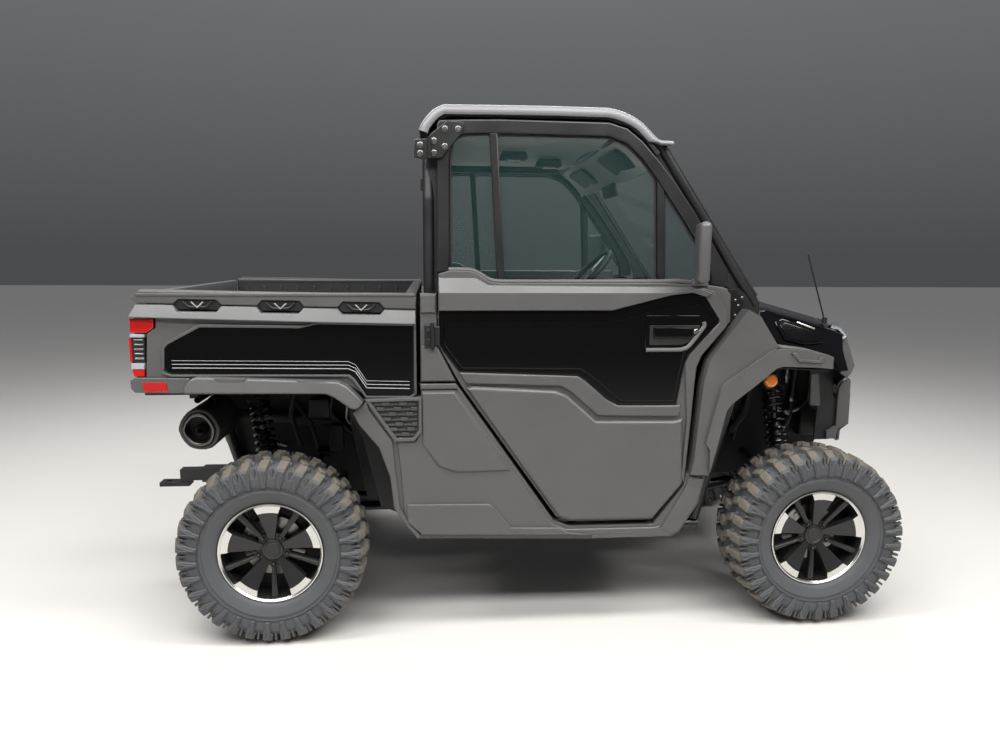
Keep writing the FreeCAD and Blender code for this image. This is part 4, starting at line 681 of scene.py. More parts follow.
def mirrorHead():
    head = block((40, 176, 205), (0, 0, 0), (1, 1), 16, 4)
    for vert in head.verts:
        vert.co.x += 0.0004 * vert.co.z * vert.co.z * 0.1
    turn = Matrix.Rotation(math.radians(-14), 4, "Z")
    placed(head, Matrix.Translation((634, -846, 1418)) @ turn)
    joinMesh(head, bar(rounded([(664, -722, 1312), (664, -762, 1322), (652, -800, 1338), (640, -818, 1350)], 12), 9,
                       12))
    joinMesh(head, block((62, 34, 26), (668, -734, 1314), (0.9, 0.9), 5, 2))
    return head


onBothSides(doorLower, "door_panel", "door_{}", "mouldedPlastic", ("door_{}",), 24)
onBothSides(doorSill, "door_sill_rail", "door_{}", "mouldedPlastic")
onBothSides(doorInsert, "door_gloss", "door_{}", "glossPlastic", ("door_insert_{}",), 24)
onBothSides(doorHandle, "door_handle", "door_{}", ("castPaint", "glossPlastic", "railPlastic", "platedSteel"))
onBothSides(doorFrame, "door_window_frame", "door_{}", "powderSteel")
onBothSides(doorGlass, "door_panes", "door_{}", "tintedGlass", ("door_glass_{}",))
onBothSides(glassSeal, "door_glass_seal", "door_{}", "cabPlastic")
onBothSides(mirrorHead, "mirror_head", "door_{}", "mouldedPlastic", ("mirror_{}",), 40)
print("doors ready")

# rocker panels and cab corners

rocker = {"skin": -748, "back": -712}


def rockerPanel():
    outline = [(-337, 905), (-527, 893), (-578, 852), (-556, 808), (-488, 724), (-450, 612), (-438, 497), (-394, 428),
               (-352, 376), (288, 357), (601, 357), (630, 372), (700, 484), (724, 592), (648, 606), (640, 556),
               (528, 408), (206, 409), (150, 432), (-206, 944), (-337, 944)]
    bm = slab(outline, rocker["back"], rocker["skin"], 4, 3)
    # face between the arch's bevel and the door's gap
    face = [(-334, 930), (-334, 790), (-358, 744), (-424, 748), (-412, 630), (-402, 480), (-392, 440), (-340, 392),
            (288, 373), (520, 372), (560, 404), (533, 398), (196, 399), (140, 424), (-214, 930)]
    joinMesh(bm, slab(face, -744, -756, 6, 3))
    joinMesh(bm, slab([(-334, 925), (-334, 735), (-276, 650), (-210, 626), (-14, 630), (-216, 925)], -748, -763, 10, 4))
    joinMesh(bm, slab([(-392, 512), (-93, 507), (-72, 492), (-10, 414), (170, 409), (196, 391), (290, 378),
                       (-338, 396), (-390, 444)],
                      -748, -765, 12, 4))
    # riser up to the fender
    joinMesh(bm, slab([(556, 392), (598, 366), (626, 380), (692, 486), (714, 586), (656, 596), (646, 552)], -744,
                      -757, 6, 3))
    joinMesh(bm, slab([(292, 374), (294, 362), (598, 362), (586, 380), (556, 398), (530, 390)], -744, -755, 3, 2))
    # rounded lip along the wheel arch
    joinMesh(bm, slab([(-527, 893), (-578, 852), (-556, 808), (-488, 724), (-450, 612), (-438, 497), (-394, 428),
                       (-352, 376),
                       (-342, 392), (-380, 436), (-416, 500), (-428, 614), (-440, 748), (-520, 862)], -744, -762, 6, 3))
    return bm


def ventGrille():
    # recessed well and seven rows of short bars, which stand in and out by turns
    bm = slab([(-520, 892), (-343, 895), (-344, 786), (-367, 758), (-426, 758)], -735, -757.5, 2, 2)
    painted(bm, 0)
    for row in range(7):
        z = 882 - row * 18.5
        start = -512 + max(0, (892 - z) * 0.62)
        end = -350 if z > 786 else -350 - (786 - z) * 0.8
        count = int((end - start) / 30)
        for i in range(count + 1):
            x0 = start + i * 30
            wide = min(30, end - x0)
            if wide < 8:
                continue
            lift = 4 if (i + row) % 2 else -1
            joinMesh(bm, block((wide, 13 if lift > 0 else 8, 12 if lift > 0 else 7),
                               (x0 + wide / 2, -758, z + lift * 0.4), (0.94, 0.6), 1.5, 1), 1)
    frameLoop = [(-534, 900), (-334, 906), (-334, 780), (-362, 746), (-432, 746)]
    hole = [(-514, 890), (-345, 894), (-346, 788), (-368, 760), (-424, 760)]
    joinMesh(bm, frameSlab(frameLoop, hole, -745, -765, 4, 3), 2)
    return bm


def cabCorner():
    # stack of panels behind the door: upper, hinge bay, lower ledge
    bm = slab([(-337, 1272), (-279, 1272), (-279, 1092), (-212, 958), (-337, 958)], -700, -744, 5, 3)
    joinMesh(bm, slab([(-335, 1268), (-283, 1268), (-283, 1205), (-335, 1205)], -740, -752, 5, 3))
    joinMesh(bm, slab([(-335, 1088), (-281, 1088), (-214, 962), (-335, 962)], -740, -751, 5, 3))
    joinMesh(bm, slab([(-338, 953), (-212, 953), (-205, 934), (-338, 934)], -740, -758, 5, 3))
    return bm


onBothSides(rockerPanel, "rocker_skin", "chassis", "mouldedPlastic", ("rocker_panels",), 24)
onBothSides(ventGrille, "vent_grille", "chassis", ("castPaint", "trimPlastic", "mouldedPlastic"), smooth=30)
onBothSides(cabCorner, "cab_corner", "chassis", "mouldedPlastic", ("rear_corners",), 24)
print("sides ready")

# front: fenders, hood, fascia, lamps


fender = {"skin": -772, "roll": 25}


def frontFender():
    # one skin with a broad rolled edge towards the door, which catches the light from above
    rear = [(726, 600), (656, 606), (668, 661), (677, 796), (690, 946), (710, 1034), (788, 1141), (845, 1217),
            (862, 1208)]
    outline = rear + [(892, 1192), (968, 1078), (938, 1064), (766, 945), (755, 926), (741, 862), (728, 716)]
    bm = slab(outline, -708, fender["skin"], 0)
    behind = [tuple(spot) for spot in rear[1:]]
    outer = [edge for edge in bm.edges if all(abs(v.co.y - fender["skin"]) < 0.01 for v in edge.verts)]
    rims = [edge for edge in outer if all(any(abs(v.co.x - x) + abs(v.co.z - z) < 0.1 for x,
                                              z in behind) for v in edge.verts)]
    rest = [edge for edge in outer if edge not in rims]
    bevelled(bm, rims, fender["roll"], 1)
    bevelled(bm, [edge for edge in rest if edge.is_valid], 2.5, 2)
    faceOut(bm)
    # top ledge between the black side and the flare
    joinMesh(bm, slab([(964, 1086), (1090, 1070), (1160, 1050), (1182, 1040), (1180, 1006), (980, 1050)], -690, -770,
                      5, 3))
    return bm


def frontFlare():
    upper = [(722, 702), (704, 725), (737, 864), (751, 928), (762, 947), (935, 1066), (951, 1074), (1017, 1073),
             (1113, 1059),
             (1150, 1051), (1170, 1014), (1172, 1000)]
    lower = [(1160, 1001), (1116, 1006), (978, 1010), (956, 1004), (886, 945), (800, 878), (777, 850), (748, 716),
             (730, 640), (722, 612)]
    bm = slab(upper + lower, -735, -787, 12, 5, 8)
    for vert in bm.verts:
        if vert.co.y < -765:
            # flare's face leans out toward the arch's edge
            vert.co.y += max(0.0, min(1.0, (vert.co.z - 1000) / 80)) * 6
    # notched ledge near the tip
    joinMesh(bm, slab([(1024, 1062), (1044, 1040), (1111, 1033), (1118, 1047), (1134, 1046), (1126, 1022),
                       (1038, 1028), (1008, 1060)],
                      -782, -791, 3, 2))
    return bm


def wheelWell():
    # black liner inside the arch, behind the wheel and over it
    path = [(712, 602), (735, 720), (762, 850), (850, 935), (955, 1000), (1160, 990), (1180, 985)]
    bm = bmesh.new()
    rows = []
    for y in (-738, -560):
        rows.append([bm.verts.new((x, y, z)) for x, z in path])
    for a, b, c, d in zip(rows[0], rows[0][1:], rows[1][1:], rows[1]):
        bm.faces.new((a, b, c, d))
    faceOut(bm)
    bmesh.ops.solidify(bm, geom=list(bm.faces), thickness=4)
    return bm


hood = {
    "rear": 976, "front": 1390, "top": 1218, "fall": 0.275,
    # half width: how high the sheet stands there, and how far its front edge stands back
    "rise": [(0, 38), (150, 37), (300, 32), (330, 27), (450, 16), (520, 7), (560, 0), (588, -12)],
    "back": [(0, 0), (240, 10), (300, 24), (450, 66), (520, 100), (560, 130), (588, 150)],
}


def between(pairs, at):
    for (a, low), (b, high) in zip(pairs, pairs[1:]):
        if at <= b:
            return low + (high - low) * (at - a) / (b - a)
    return pairs[-1][1]


def hoodTop():
    # crowned sheet: rows run from the cowl to the nose, columns across
    halves = (0, 75, 150, 225, 292, 304, 330, 390, 450, 490, 520, 545, 560, 574, 583, 588)
    across = [-half for half in reversed(halves[1:])] + list(halves)
    bm = bmesh.new()
    grid = []
    for row in range(13):
        line = []
        for y in across:
            half = abs(y)
            front = hood["front"] - between(hood["back"], half)
            x = hood["rear"] + (front - hood["rear"]) * row / 12
            edge = 5 if row in (0, 12) else 0
            z = hood["top"] + between(hood["rise"], half) - hood["fall"] * (x - hood["rear"]) - edge
            line.append(bm.verts.new((x, y, z - (4 if half == 588 else 0))))
        grid.append(line)
    rowSkin(bm, grid, 2)
    bmesh.ops.solidify(bm, geom=list(bm.faces), thickness=6)
    return bm


def cowlTray():
    # dark drip tray under the seam between cowl and hood
    bm = slab([(868, 1150), (1020, 1146), (1020, 1154), (868, 1158)], -556, 556, 1.5, 1)
    joinMesh(bm, slab([(966, 1154), (974, 1154), (974, 1206), (966, 1210)], -540, 540, 2, 1))
    return bm


def frontBay():
    # dark panel behind the suspension, with a bent steel pipe and two hoses before it
    bm = slab([(690, 1000), (620, 640), (620, 470), (1300, 470), (1400, 640), (1400, 900), (1180, 1000)], -296, -302,
              2, 1)
    runs = [
        ([(1221, -326, 872), (1223, -326, 938), (1240, -326, 952), (1290, -326, 956)], 9, 2),
        ([(1264, -322, 940), (1256, -322, 860), (1246, -322, 722), (1200, -322, 640)], 14, 1),
        ([(1187, -324, 763), (1230, -330, 742), (1289, -324, 754), (1330, -324, 800), (1330, -324, 920)], 7, 2),
        ([(1040, -322, 990), (1070, -322, 860), (1040, -322, 740), (980, -322, 660)], 17, 1),
        ([(900, -316, 900), (960, -320, 800), (1010, -318, 690), (1000, -318, 620)], 8, 1),
    ]
    for path, radius, index in runs:
        joinMesh(bm, bar(rounded(path, 26), radius, 12), index)
    for x, z in ((1222, 900), (1290, 956), (1230, 742), (1250, 800)):
        joinMesh(bm, block((24, 20, 22), (x, -326, z), (0.9, 0.9), 3, 2), 2)
    joinMesh(bm, block((150, 40, 190), (880, -322, 700), (0.9, 1), 8, 2), 1)
    joinMesh(bm, block((90, 34, 120), (1330, -320, 700), (0.9, 1), 8, 2), 1)
    return bm


def sideLean(x, z):
    # the hood's side leans in toward the hood and toward the nose
    return -668 + (z - 1060) * 0.42 + max(0, x - 1180) * 0.34


def hoodSide():
    outline = [(944, 1178), (957, 1200), (985, 1204), (1120, 1166), (1256, 1124), (1300, 1110), (1290, 1050),
               (1303, 973), (1264, 973),
               (1213, 1035), (1090, 1056), (1023, 1074), (972, 1080)]
    bm = bmesh.new()
    verts = [bm.verts.new((x, 0, z)) for x, z in outline]
    face = bm.faces.new(verts)
    grown = bmesh.ops.extrude_face_region(bm, geom=[face])
    bmesh.ops.translate(bm, vec=(0, 30, 0), verts=newVerts(grown))
    faceOut(bm)
    softenEdges(bm, 3, 2, 30)
    for vert in bm.verts:
        vert.co.y += sideLean(vert.co.x, vert.co.z)
    return bm


def hoodSideRecess():
    bm = bmesh.new()
    for outline, out, soft in (
        ([(1010, 1160), (1042, 1172), (1170, 1134), (1196, 1082), (1120, 1076), (1040, 1092)], 4, 3),
        ([(1030, 1150), (1050, 1158), (1150, 1127), (1172, 1090), (1118, 1086), (1050, 1100)], 1.5, 2),
    ):
        plate = slab(outline, 0, -out, soft, 2)
        for vert in plate.verts:
            vert.co.y += sideLean(vert.co.x, vert.co.z) - (0 if out == 4 else 4)
        joinMesh(bm, plate)
    slot = slab([(1094, 1158), (1100, 1162), (1166, 1138), (1164, 1130)], 0, -4, 1.5, 2)
    for vert in slot.verts:
        vert.co.y += sideLean(vert.co.x, vert.co.z) - 4
    joinMesh(bm, slot, 1)
    return bm


nose = {
    # how far the front stands back at each half width
    "plan": [(0, 0), (120, 3), (240, 10), (360, 38), (450, 66), (520, 100), (580, 140), (630, 180)],
}


def noseBand(section, reach, thick=5, start=0):
    # section swept around the nose between two half widths, on both sides
    bm = bmesh.new()
    steps = [start + (reach - start) * i / 14 for i in range(15)]
    stations = sorted({-y for y in steps} | set(steps)) if start == 0 else steps
    grid = []
    for y in stations:
        grid.append([bm.verts.new((x - between(nose["plan"], abs(y)), y, z)) for x, z in section])
    rowSkin(bm, grid, 0)
    if start:
        joinMesh(bm, flipped(bm.copy()))
    bmesh.ops.solidify(bm, geom=list(bm.faces), thickness=thick)
    return bm


def headLamp():
    # silver wedge on each shoulder of the nose
    return noseBand([(1402, 1137), (1436, 1131), (1466, 1104), (1468, 1094), (1460, 1086), (1412, 1094)], 560, 8, 300)


def fascia():
    bm = noseBand([(1404, 1106), (1462, 1092), (1505, 978), (1496, 950), (1478, 925)], 548, 6)
    # plate that carries the face back along each side
    side = [(1302, 1108), (1350, 1093), (1393, 978), (1384, 950), (1366, 925), (1336, 946), (1352, 985), (1312, 1080)]
    for hand in (-1, 1):
        joinMesh(bm, slab(side, 538 * hand, 550 * hand, 3, 2))
    return bm


def noseCentre():
    # plain recessed grille between the lamps and the bumper
    bm = noseBand([(1480, 930), (1452, 900), (1450, 880)], 540, 5)
    joinMesh(bm, noseBand([(1400, 1140), (1440, 1128), (1452, 1100)], 300, 5))
    joinMesh(bm, noseBand([(1440, 905), (1438, 850)], 420, 5))
    return bm


def bumper():
    bm = noseBand([(1452, 838), (1470, 850), (1496, 884), (1506, 850), (1508, 720), (1486, 704), (1474, 694),
                   (1472, 652), (1456, 648)], 470, 6)
    side = [(1376, 866), (1388, 892), (1420, 912), (1428, 900), (1427, 722), (1418, 714), (1384, 698), (1382, 656),
            (1338, 658),
            (1338, 690), (1376, 712)]
    for hand in (-1, 1):
        joinMesh(bm, slab(side, 462 * hand, 474 * hand, 3, 2))
    return bm


def noseSidePanel():
    # inner black panel that closes the nose beside the wheel
    outline = [(1229, 1004), (1304, 984), (1372, 960), (1352, 926), (1362, 842), (1392, 800), (1392, 706),
               (1362, 690), (1358, 652), (1290, 652), (1296, 780), (1262, 930)]
    bm = slab(outline, -454, -460, 1.5, 1)
    panel = slab([(1258, 930), (1291, 930), (1307, 797), (1262, 798)], -452, -466, 2, 2)
    joinMesh(bm, panel, 1)
    return bm


def sideReflector():
    bm = spun([(0, -734), (17, -734), (23, -731), (25, -726), (25, -712), (0, -712)], 28)
    moved(bm, (965, 0, 949))
    ring = spun([(25, -724), (29, -722), (29, -708), (25, -708)], 28)
    moved(ring, (965, 0, 949))
    joinMesh(bm, ring, 1)
    joinMesh(bm, block((16, 90, 60), (962, -668, 944), (0.9, 0.9), 3, 2), 1)
    return bm


def pillarPlate():
    bm = slab([(800, 1285), (814, 1140), (848, 1147), (884, 1203), (846, 1262), (828, 1288)], -668, -692, 3, 2)
    for x, z in ((824, 1245), (849, 1255), (827, 1189), (836, 1225)):
        joinMesh(bm, rivetHead(x, z, -692, 6), 1)
    return bm


def rivetHead(x, z, y, radius, stand=3):
    bm = spun([(0, y - stand), (radius * 0.6, y - stand), (radius, y - stand * 0.4), (radius, y + 1), (0, y + 1)], 16)
    return moved(bm, (x, 0, z))


def boltHead(x, z, y, across=14, stand=8, washer=20):
    bm = bmesh.new()
    for radius, low, high, steps in ((washer / 2, y, y - 2, 24), (across / 2 / 0.866, y - 2, y - 2 - stand, 6)):
        cap = spun([(0, high), (radius * 0.88, high), (radius, high + (low - high) * 0.2), (radius, low + 0.5),
                    (0, low + 0.5)], steps)
        moved(cap, (x, 0, z))
        joinMesh(bm, cap)
    return bm


onBothSides(frontFender, "front_fender_skin", "chassis", "mouldedPlastic", ("front_fenders",), 24)
onBothSides(frontFlare, "front_flare", "chassis", "mouldedPlastic", smooth=28)
onBothSides(wheelWell, "front_well", "chassis", "cabPlastic")
onBothSides(frontBay, "front_bay", "chassis", ("castPaint", "hoseRubber", "platedSteel"), smooth=40)
onBothSides(hoodSide, "hood_side", "chassis", "glossPlastic", ("hood_sides",), 28)
onBothSides(hoodSideRecess, "hood_side_recess", "chassis", ("glossPlastic", "platedSteel"), smooth=28)
onBothSides(noseSidePanel, "nose_side", "chassis", ("cabPlastic", "mouldedPlastic"))
onBothSides(sideReflector, "side_reflector", "chassis", ("amberLens", "cabPlastic"))
onBothSides(pillarPlate, "pillar_plate", "chassis", ("cabPlastic", "warmSteel"))
finishPiece(hoodTop(), "hood_skin", "hood", "glossPlastic", ("hood",), 20)
finishPiece(headLamp(), "headlamp_wedges", "chassis", "clearLens", ("headlamps",), 40)
finishPiece(fascia(), "fascia_skin", "chassis", "mouldedPlastic", ("front_fascia",), 25)
finishPiece(noseCentre(), "nose_grille", "chassis", "cabPlastic", smooth=25)
finishPiece(bumper(), "bumper_skin", "chassis", "mouldedPlastic", smooth=25)
finishPiece(cowlTray(), "cowl_tray", "chassis", "hoseRubber")
print("front ready")

# bed


railSlots = [
    [(-1178, 1233), (-1160, 1251), (-1033, 1248), (-1017, 1224), (-1031, 1214), (-1162, 1216)],
    [(-898, 1228), (-880, 1247), (-754, 1245), (-738, 1222), (-755, 1209), (-882, 1211)],
    [(-623, 1223), (-605, 1242), (-479, 1240), (-461, 1217), (-477, 1204), (-606, 1206)],
]


def railEdge(x):
    # height of the line between the rail and the band below
    return 1238 - (x + 1320) * 0.0227


def bedRail():
    # the lower edge is notched round the upper half of each slot
    outline = [(-1291, 1279), (-362, 1266), (-350, 1258), (-352, railEdge(-352))]
    for slot in reversed(railSlots):
        outline += [(slot[3][0], railEdge(slot[3][0])), slot[2], slot[1], (slot[0][0], railEdge(slot[0][0]))]
    outline += [(-1300, railEdge(-1300)), (-1322, 1252)]
    bm = slab(outline, -700, -731, 4, 3)
    # cap's top that reaches over the wall
    joinMesh(bm, block((945, 100, 12), (-826, -684, 1266), (1, 1), 5, 3))
    for vert in bm.verts:
        if vert.co.z > 1255 and vert.co.y > -716:
            vert.co.z += (-826 - vert.co.x) * 0.012
    return bm


def railWell():
    # dark pocket behind each slot, with its tie-down hook
    bm = bmesh.new()
    for slot in railSlots:
        joinMesh(bm, slab(slot, -690, -722, 0))
        middle = sum(x for x, z in slot) / 6
        z = slot[0][1]
        hook = bar(rounded([(middle - 48, -730, z + 12), (middle - 30, -730, z - 8), (middle + 30, -730, z - 8),
                            (middle + 48, -730, z + 12)], 12), 3.4, 8)
        joinMesh(bm, hook, 1)
        joinMesh(bm, bar([(middle - 20, -731, z + 9), (middle, -733, z - 10), (middle + 20, -731, z + 9)], 3, 8), 2)
    return bm


band = {"from": 1168, "lean": 0.44}


def bedBand():
    # leans back to the rail and holds the lower half of each slot
    outline = [(-700, 1172), (-1326, 1190), (-1302, railEdge(-1302) - 3)]
    for slot in railSlots:
        outline += [(slot[0][0], railEdge(slot[0][0]) - 3), (slot[5][0], slot[5][1] - 6), (slot[4][0], slot[4][1] - 6),
                    (slot[3][0], railEdge(slot[3][0]) - 3)]
    outline += [(-352, railEdge(-352) - 3), (-352, 1165)]
    bm = slab(outline, -700, -762, 4, 3)
    for vert in bm.verts:
        if vert.co.y < -735:
            vert.co.y += max(0.0, vert.co.z - band["from"]) * band["lean"]
    return bm


def bedPanel():
    outline = [(-1322, 1194), (-352, 1172), (-352, 912), (-366, 906), (-520, 903), (-590, 950), (-624, 968),
               (-1105, 986),
               (-1131, 978), (-1279, 982), (-1268, 1134), (-1238, 1154), (-1236, 1190)]
    bm = slab(outline, -704, -736, 3, 2)
    rim = [(-1222, 1086), (-1206, 1104), (-1093, 1166), (-755, 1161), (-694, 1175), (-356, 1169), (-356, 1158),
           (-691, 1165), (-755, 1151), (-1090, 1155), (-1200, 1096), (-1211, 1082), (-1216, 1011), (-1224, 1006)]
    joinMesh(bm, slab(rim, -732, -744, 3, 2))
    lower = [(-1224, 1010), (-1212, 998), (-1192, 992), (-587, 987), (-568, 972), (-528, 910), (-375, 908), (-358, 920),
             (-358, 908), (-371, 900), (-532, 901), (-578, 966), (-594, 978), (-1195, 983), (-1222, 994)]
    joinMesh(bm, slab(lower, -732, -744, 3, 2))
    return bm


def bedGloss():
    outline = [(-1214, 1088), (-1202, 1100), (-1091, 1158), (-755, 1154), (-691, 1168), (-360, 1162), (-361, 920),
               (-375, 911), (-530, 912), (-570, 974), (-587, 989), (-1192, 995), (-1208, 1001), (-1216, 1011)]
    return slab(outline, -730, -742, 2.5, 2)


def pinStripes():
    # plain thin parallel stripes that follow the insert's lower edge
    bm = bmesh.new()
    for row in range(3):
        drop = row * 13
        path = [(-1190, 1014 + drop), (-590, 1007 + drop), (-566, 996 + drop), (-528, 938 + drop), (-376, 934 + drop)]
        wide = 2.4 - row * 0.5
        for (x0, z0), (x1, z1) in zip(path, path[1:]):
            along = math.hypot(x1 - x0, z1 - z0)
            nx, nz = -(z1 - z0) / along * wide, (x1 - x0) / along * wide
            joinMesh(bm, slab([(x0, z0), (x1, z1), (x1 + nx, z1 + nz), (x0 + nx, z0 + nz)], -741.5, -742.6, 0))
    return bm


def rearFlare():
    outline = [(-1146, 948), (-1125, 979), (-1105, 986), (-624, 968), (-590, 950), (-537, 893), (-558, 869),
               (-579, 870),
               (-639, 913), (-665, 925), (-1142, 931)]
    bm = slab(outline, -722, -787, 8, 4, 6)
    for vert in bm.verts:
        if vert.co.y < -750:
            vert.co.y += max(0.0, min(1.0, (vert.co.z - 935) / 45)) * 16
    for notch in (((-1043, 984), (-934, 981), (-951, 966), (-1027, 969)), ((-768, 974), (-658, 970), (-678, 955),
                                                                           (-752, 958))):
        joinMesh(bm, slab(notch, -764, -776, 2, 2))
    return bm


def tailLamp():
    bm = bmesh.new()
    pieces = [
        ([(-1323, 1184), (-1245, 1184), (-1247, 1152), (-1272, 1136), (-1325, 1138)], -736, 0),
        ([(-1325, 1133), (-1277, 1131), (-1279, 1120), (-1326, 1120)], -737, 1),
        ([(-1326, 1119), (-1279, 1119), (-1282, 1032), (-1327, 1032)], -732, 2),
        ([(-1327, 1031), (-1283, 1031), (-1285, 1010), (-1327, 1010)], -737, 1),
        ([(-1327, 1008), (-1285, 1008), (-1286, 984), (-1320, 984)], -736, 0),
        ([(-1330, 1118), (-1322, 1118), (-1322, 1033), (-1330, 1033)], -736, 0),
    ]
    for outline, face, index in pieces:
        joinMesh(bm, slab(outline, -640, face, 2, 2), index)
    for row in range(5):
        z = 1044 + row * 16
        joinMesh(bm, slab([(-1314, z + 6), (-1284, z + 6), (-1284, z), (-1314, z)], -730, -735.5, 1, 1), 3)
    return bm


def bumperCorner():
    bm = slab([(-1332, 971), (-1315, 982), (-1131, 978), (-1157, 926), (-1318, 929), (-1330, 943)], -640, -745, 4, 3)
    joinMesh(bm, slab([(-1290, 966), (-1212, 965), (-1206, 931), (-1286, 932)], -740, -749, 2, 2), 1)
    for i in range(9):
        joinMesh(bm, painted(slab([(-1284 + i * 8.5, 962), (-1280 + i * 8.5, 962), (-1278 + i * 8.5, 935),
                                   (-1282 + i * 8.5, 935)],
                                  -748, -750, 0.6, 1), 1))
    return bm


def bedInside():
    # inner wall with upright ribs and a ledge along its top
    bm = slab([(-1300, 1262), (-356, 1262), (-356, 905), (-1300, 905)], -640, -634, 1, 1)
    for i in range(11):
        x = -1250 + i * 85
        joinMesh(bm, block((16, 8, 330), (x, -631, 1075), (0.9, 0.9), 3, 2))
    joinMesh(bm, block((940, 34, 16), (-828, -650, 1262), (1, 1), 4, 2))
    return bm


def bedFloor():
    bm = block((970, 1270, 10), (-842, 0, 905), (1, 1), 2, 1)
    for i in range(15):
        joinMesh(bm, block((940, 26, 8), (-842, -560 + i * 80, 912), (1, 0.8), 2, 1))
    joinMesh(bm, block((16, 1290, 340), (-366, 0, 1075), (1, 1), 3, 1))
    for i in range(14):
        joinMesh(bm, block((8, 18, 300), (-376, -560 + i * 86, 1075), (0.9, 0.9), 2, 1))
    joinMesh(bm, block((46, 1400, 22), (-372, 0, 1256), (1, 1), 6, 3))
    return bm


def tailGate():
    bm = block((30, 1230, 276), (-1316, 0, 1072), (1, 1), 6, 3)
    joinMesh(bm, block((34, 1236, 62), (-1313, 0, 1238), (0.9, 1), 6, 3))
    for z in (1140, 1020):
        joinMesh(bm, block((12, 1080, 70), (-1330, 0, z), (1, 0.96), 4, 3))
    joinMesh(bm, block((10, 150, 40), (-1332, 0, 1080), (0.8, 0.9), 4, 2))
    return bm


onBothSides(bedRail, "bed_rail", "bed", "mouldedPlastic", ("bed_sides",), 28)
onBothSides(railWell, "bed_rail_hooks", "bed", ("castPaint", "powderSteel", "platedSteel"))
onBothSides(bedBand, "bed_band", "bed", "mouldedPlastic", smooth=28)
onBothSides(bedPanel, "bed_panel", "bed", "mouldedPlastic", smooth=28)
onBothSides(bedGloss, "bed_gloss", "bed", "glossPlastic", ("bed_inserts",), 28)
onBothSides(pinStripes, "bed_stripes", "bed", "stripeFilm", smooth=28)
onBothSides(rearFlare, "rear_flare", "bed", "mouldedPlastic", smooth=28)
onBothSides(tailLamp, "tail_lamp", "bed", ("redLens", "clearLens", "cabPlastic", "platedSteel"),
            ("tail_lamps",), 30)
onBothSides(bumperCorner, "bed_corner", "bed", ("mouldedPlastic", "redLens"), smooth=28)
onBothSides(bedInside, "bed_wall", "bed", "cabPlastic", smooth=28)
finishPiece(bedFloor(), "bed_liner", "bed", "cabPlastic", smooth=28)
finishPiece(tailGate(), "tailgate_skin", "tailgate", "mouldedPlastic", ("tailgate",), 28)
print("bed ready")

# roof, pillars and hinges


def roofShell():
    outer = [(-337, 1831), (-330, 1850), (-317, 1868), (-302, 1886), (-284, 1902), (-266, 1912), (-248, 1918),
             (-60, 1920), (151, 1921),
             (329, 1919), (362, 1913), (393, 1903), (424, 1889), (452, 1872), (474, 1852), (496, 1831), (512, 1815),
             (520, 1812), (563, 1811)]
    spots = [Vector((x, 0, z)) for x, z in outer]
    bm = bmesh.new()
    grid = []
    half = 706
    turns = [i / 6 * math.pi / 2 for i in range(7)]
    for i, spot in enumerate(spots):
        before, after = spots[max(i - 1, 0)], spots[min(i + 1, len(spots) - 1)]
        along = (after - before).normalized()
        down = Vector((along.z, 0, -along.x))
        deep = 34 if i < len(spots) - 3 else 16
        edge = [(half - 24 * (1 - math.sin(turn)), deep * 0.62 * (1 - math.cos(turn))) for turn in turns]
        edge += [(half, deep * 0.8), (half - 3, deep), (half - 26, deep)]
        line = [(-y, drop) for y, drop in reversed(edge)]
        line += [(y, 0) for y in (-420, -140, 140, 420)]
        line += edge
        grid.append([bm.verts.new(spot + down * drop + Vector((0, y, 0))) for y, drop in line])
    rowSkin(bm, grid, 2)
    bmesh.ops.solidify(bm, geom=list(bm.faces), thickness=5)
    return bm


def roofSeal():
    # black gap strip between the roof's rim and the door frame
    path = [(-300, 1822), (-278, 1856), (-252, 1872), (-226, 1878), (152, 1879), (326, 1878), (404, 1856),
            (458, 1816), (506, 1760)]
    upper = [(-290, 1830), (-268, 1866), (-244, 1884), (-226, 1889), (152, 1890), (330, 1889), (414, 1865),
             (470, 1822), (520, 1770)]
    return slab(path + list(reversed(upper)), -640, -692, 1, 1)


def headLining():
    # felt ceiling, carried down at the front
    rows = [(-290, 1790), (-262, 1850), (-200, 1872), (100, 1874), (320, 1872), (390, 1852), (440, 1812), (486, 1764),
            (508, 1730)]
    bm = bmesh.new()
    grid = []
    for x, z in rows:
        line = []
        for y, drop in ((-650, 20), (-622, 6), (-560, 12), (-300, 20), (-90, 10), (0, 8), (90, 10), (300, 20),
                        (560, 12), (622, 6), (650, 20)):
            line.append(bm.verts.new((x, y, z - drop)))
        grid.append(line)
    for a, b in zip(grid, grid[1:]):
        for i in range(len(a) - 1):
            bm.faces.new((a[i], a[i + 1], b[i + 1], b[i]))
    faceOut(bm)
    bmesh.ops.solidify(bm, geom=list(bm.faces), thickness=5)
    return bm


def topHinge():
    bm = slab([(-299, 1812), (-238, 1861), (-182, 1856), (-182, 1829), (-259, 1736), (-299, 1736)], -700, -714, 2.5, 2)
    joinMesh(bm, slab([(-351, 1797), (-306, 1801), (-299, 1797), (-299, 1738), (-319, 1731), (-352, 1738)], -696,
                      -710, 2.5, 2))
    joinMesh(bm, bar([(-299, -716, 1735), (-299, -716, 1806)], 7, 12))
    for x, z in ((-246, 1832), (-201, 1833), (-247, 1774), (-284, 1792), (-284, 1752)):
        joinMesh(bm, boltHead(x, z, -714, 13, 7, 20), 1)
    for x, z in ((-331, 1778), (-331, 1750)):
        joinMesh(bm, boltHead(x, z, -710, 13, 7, 20), 1)
    return bm


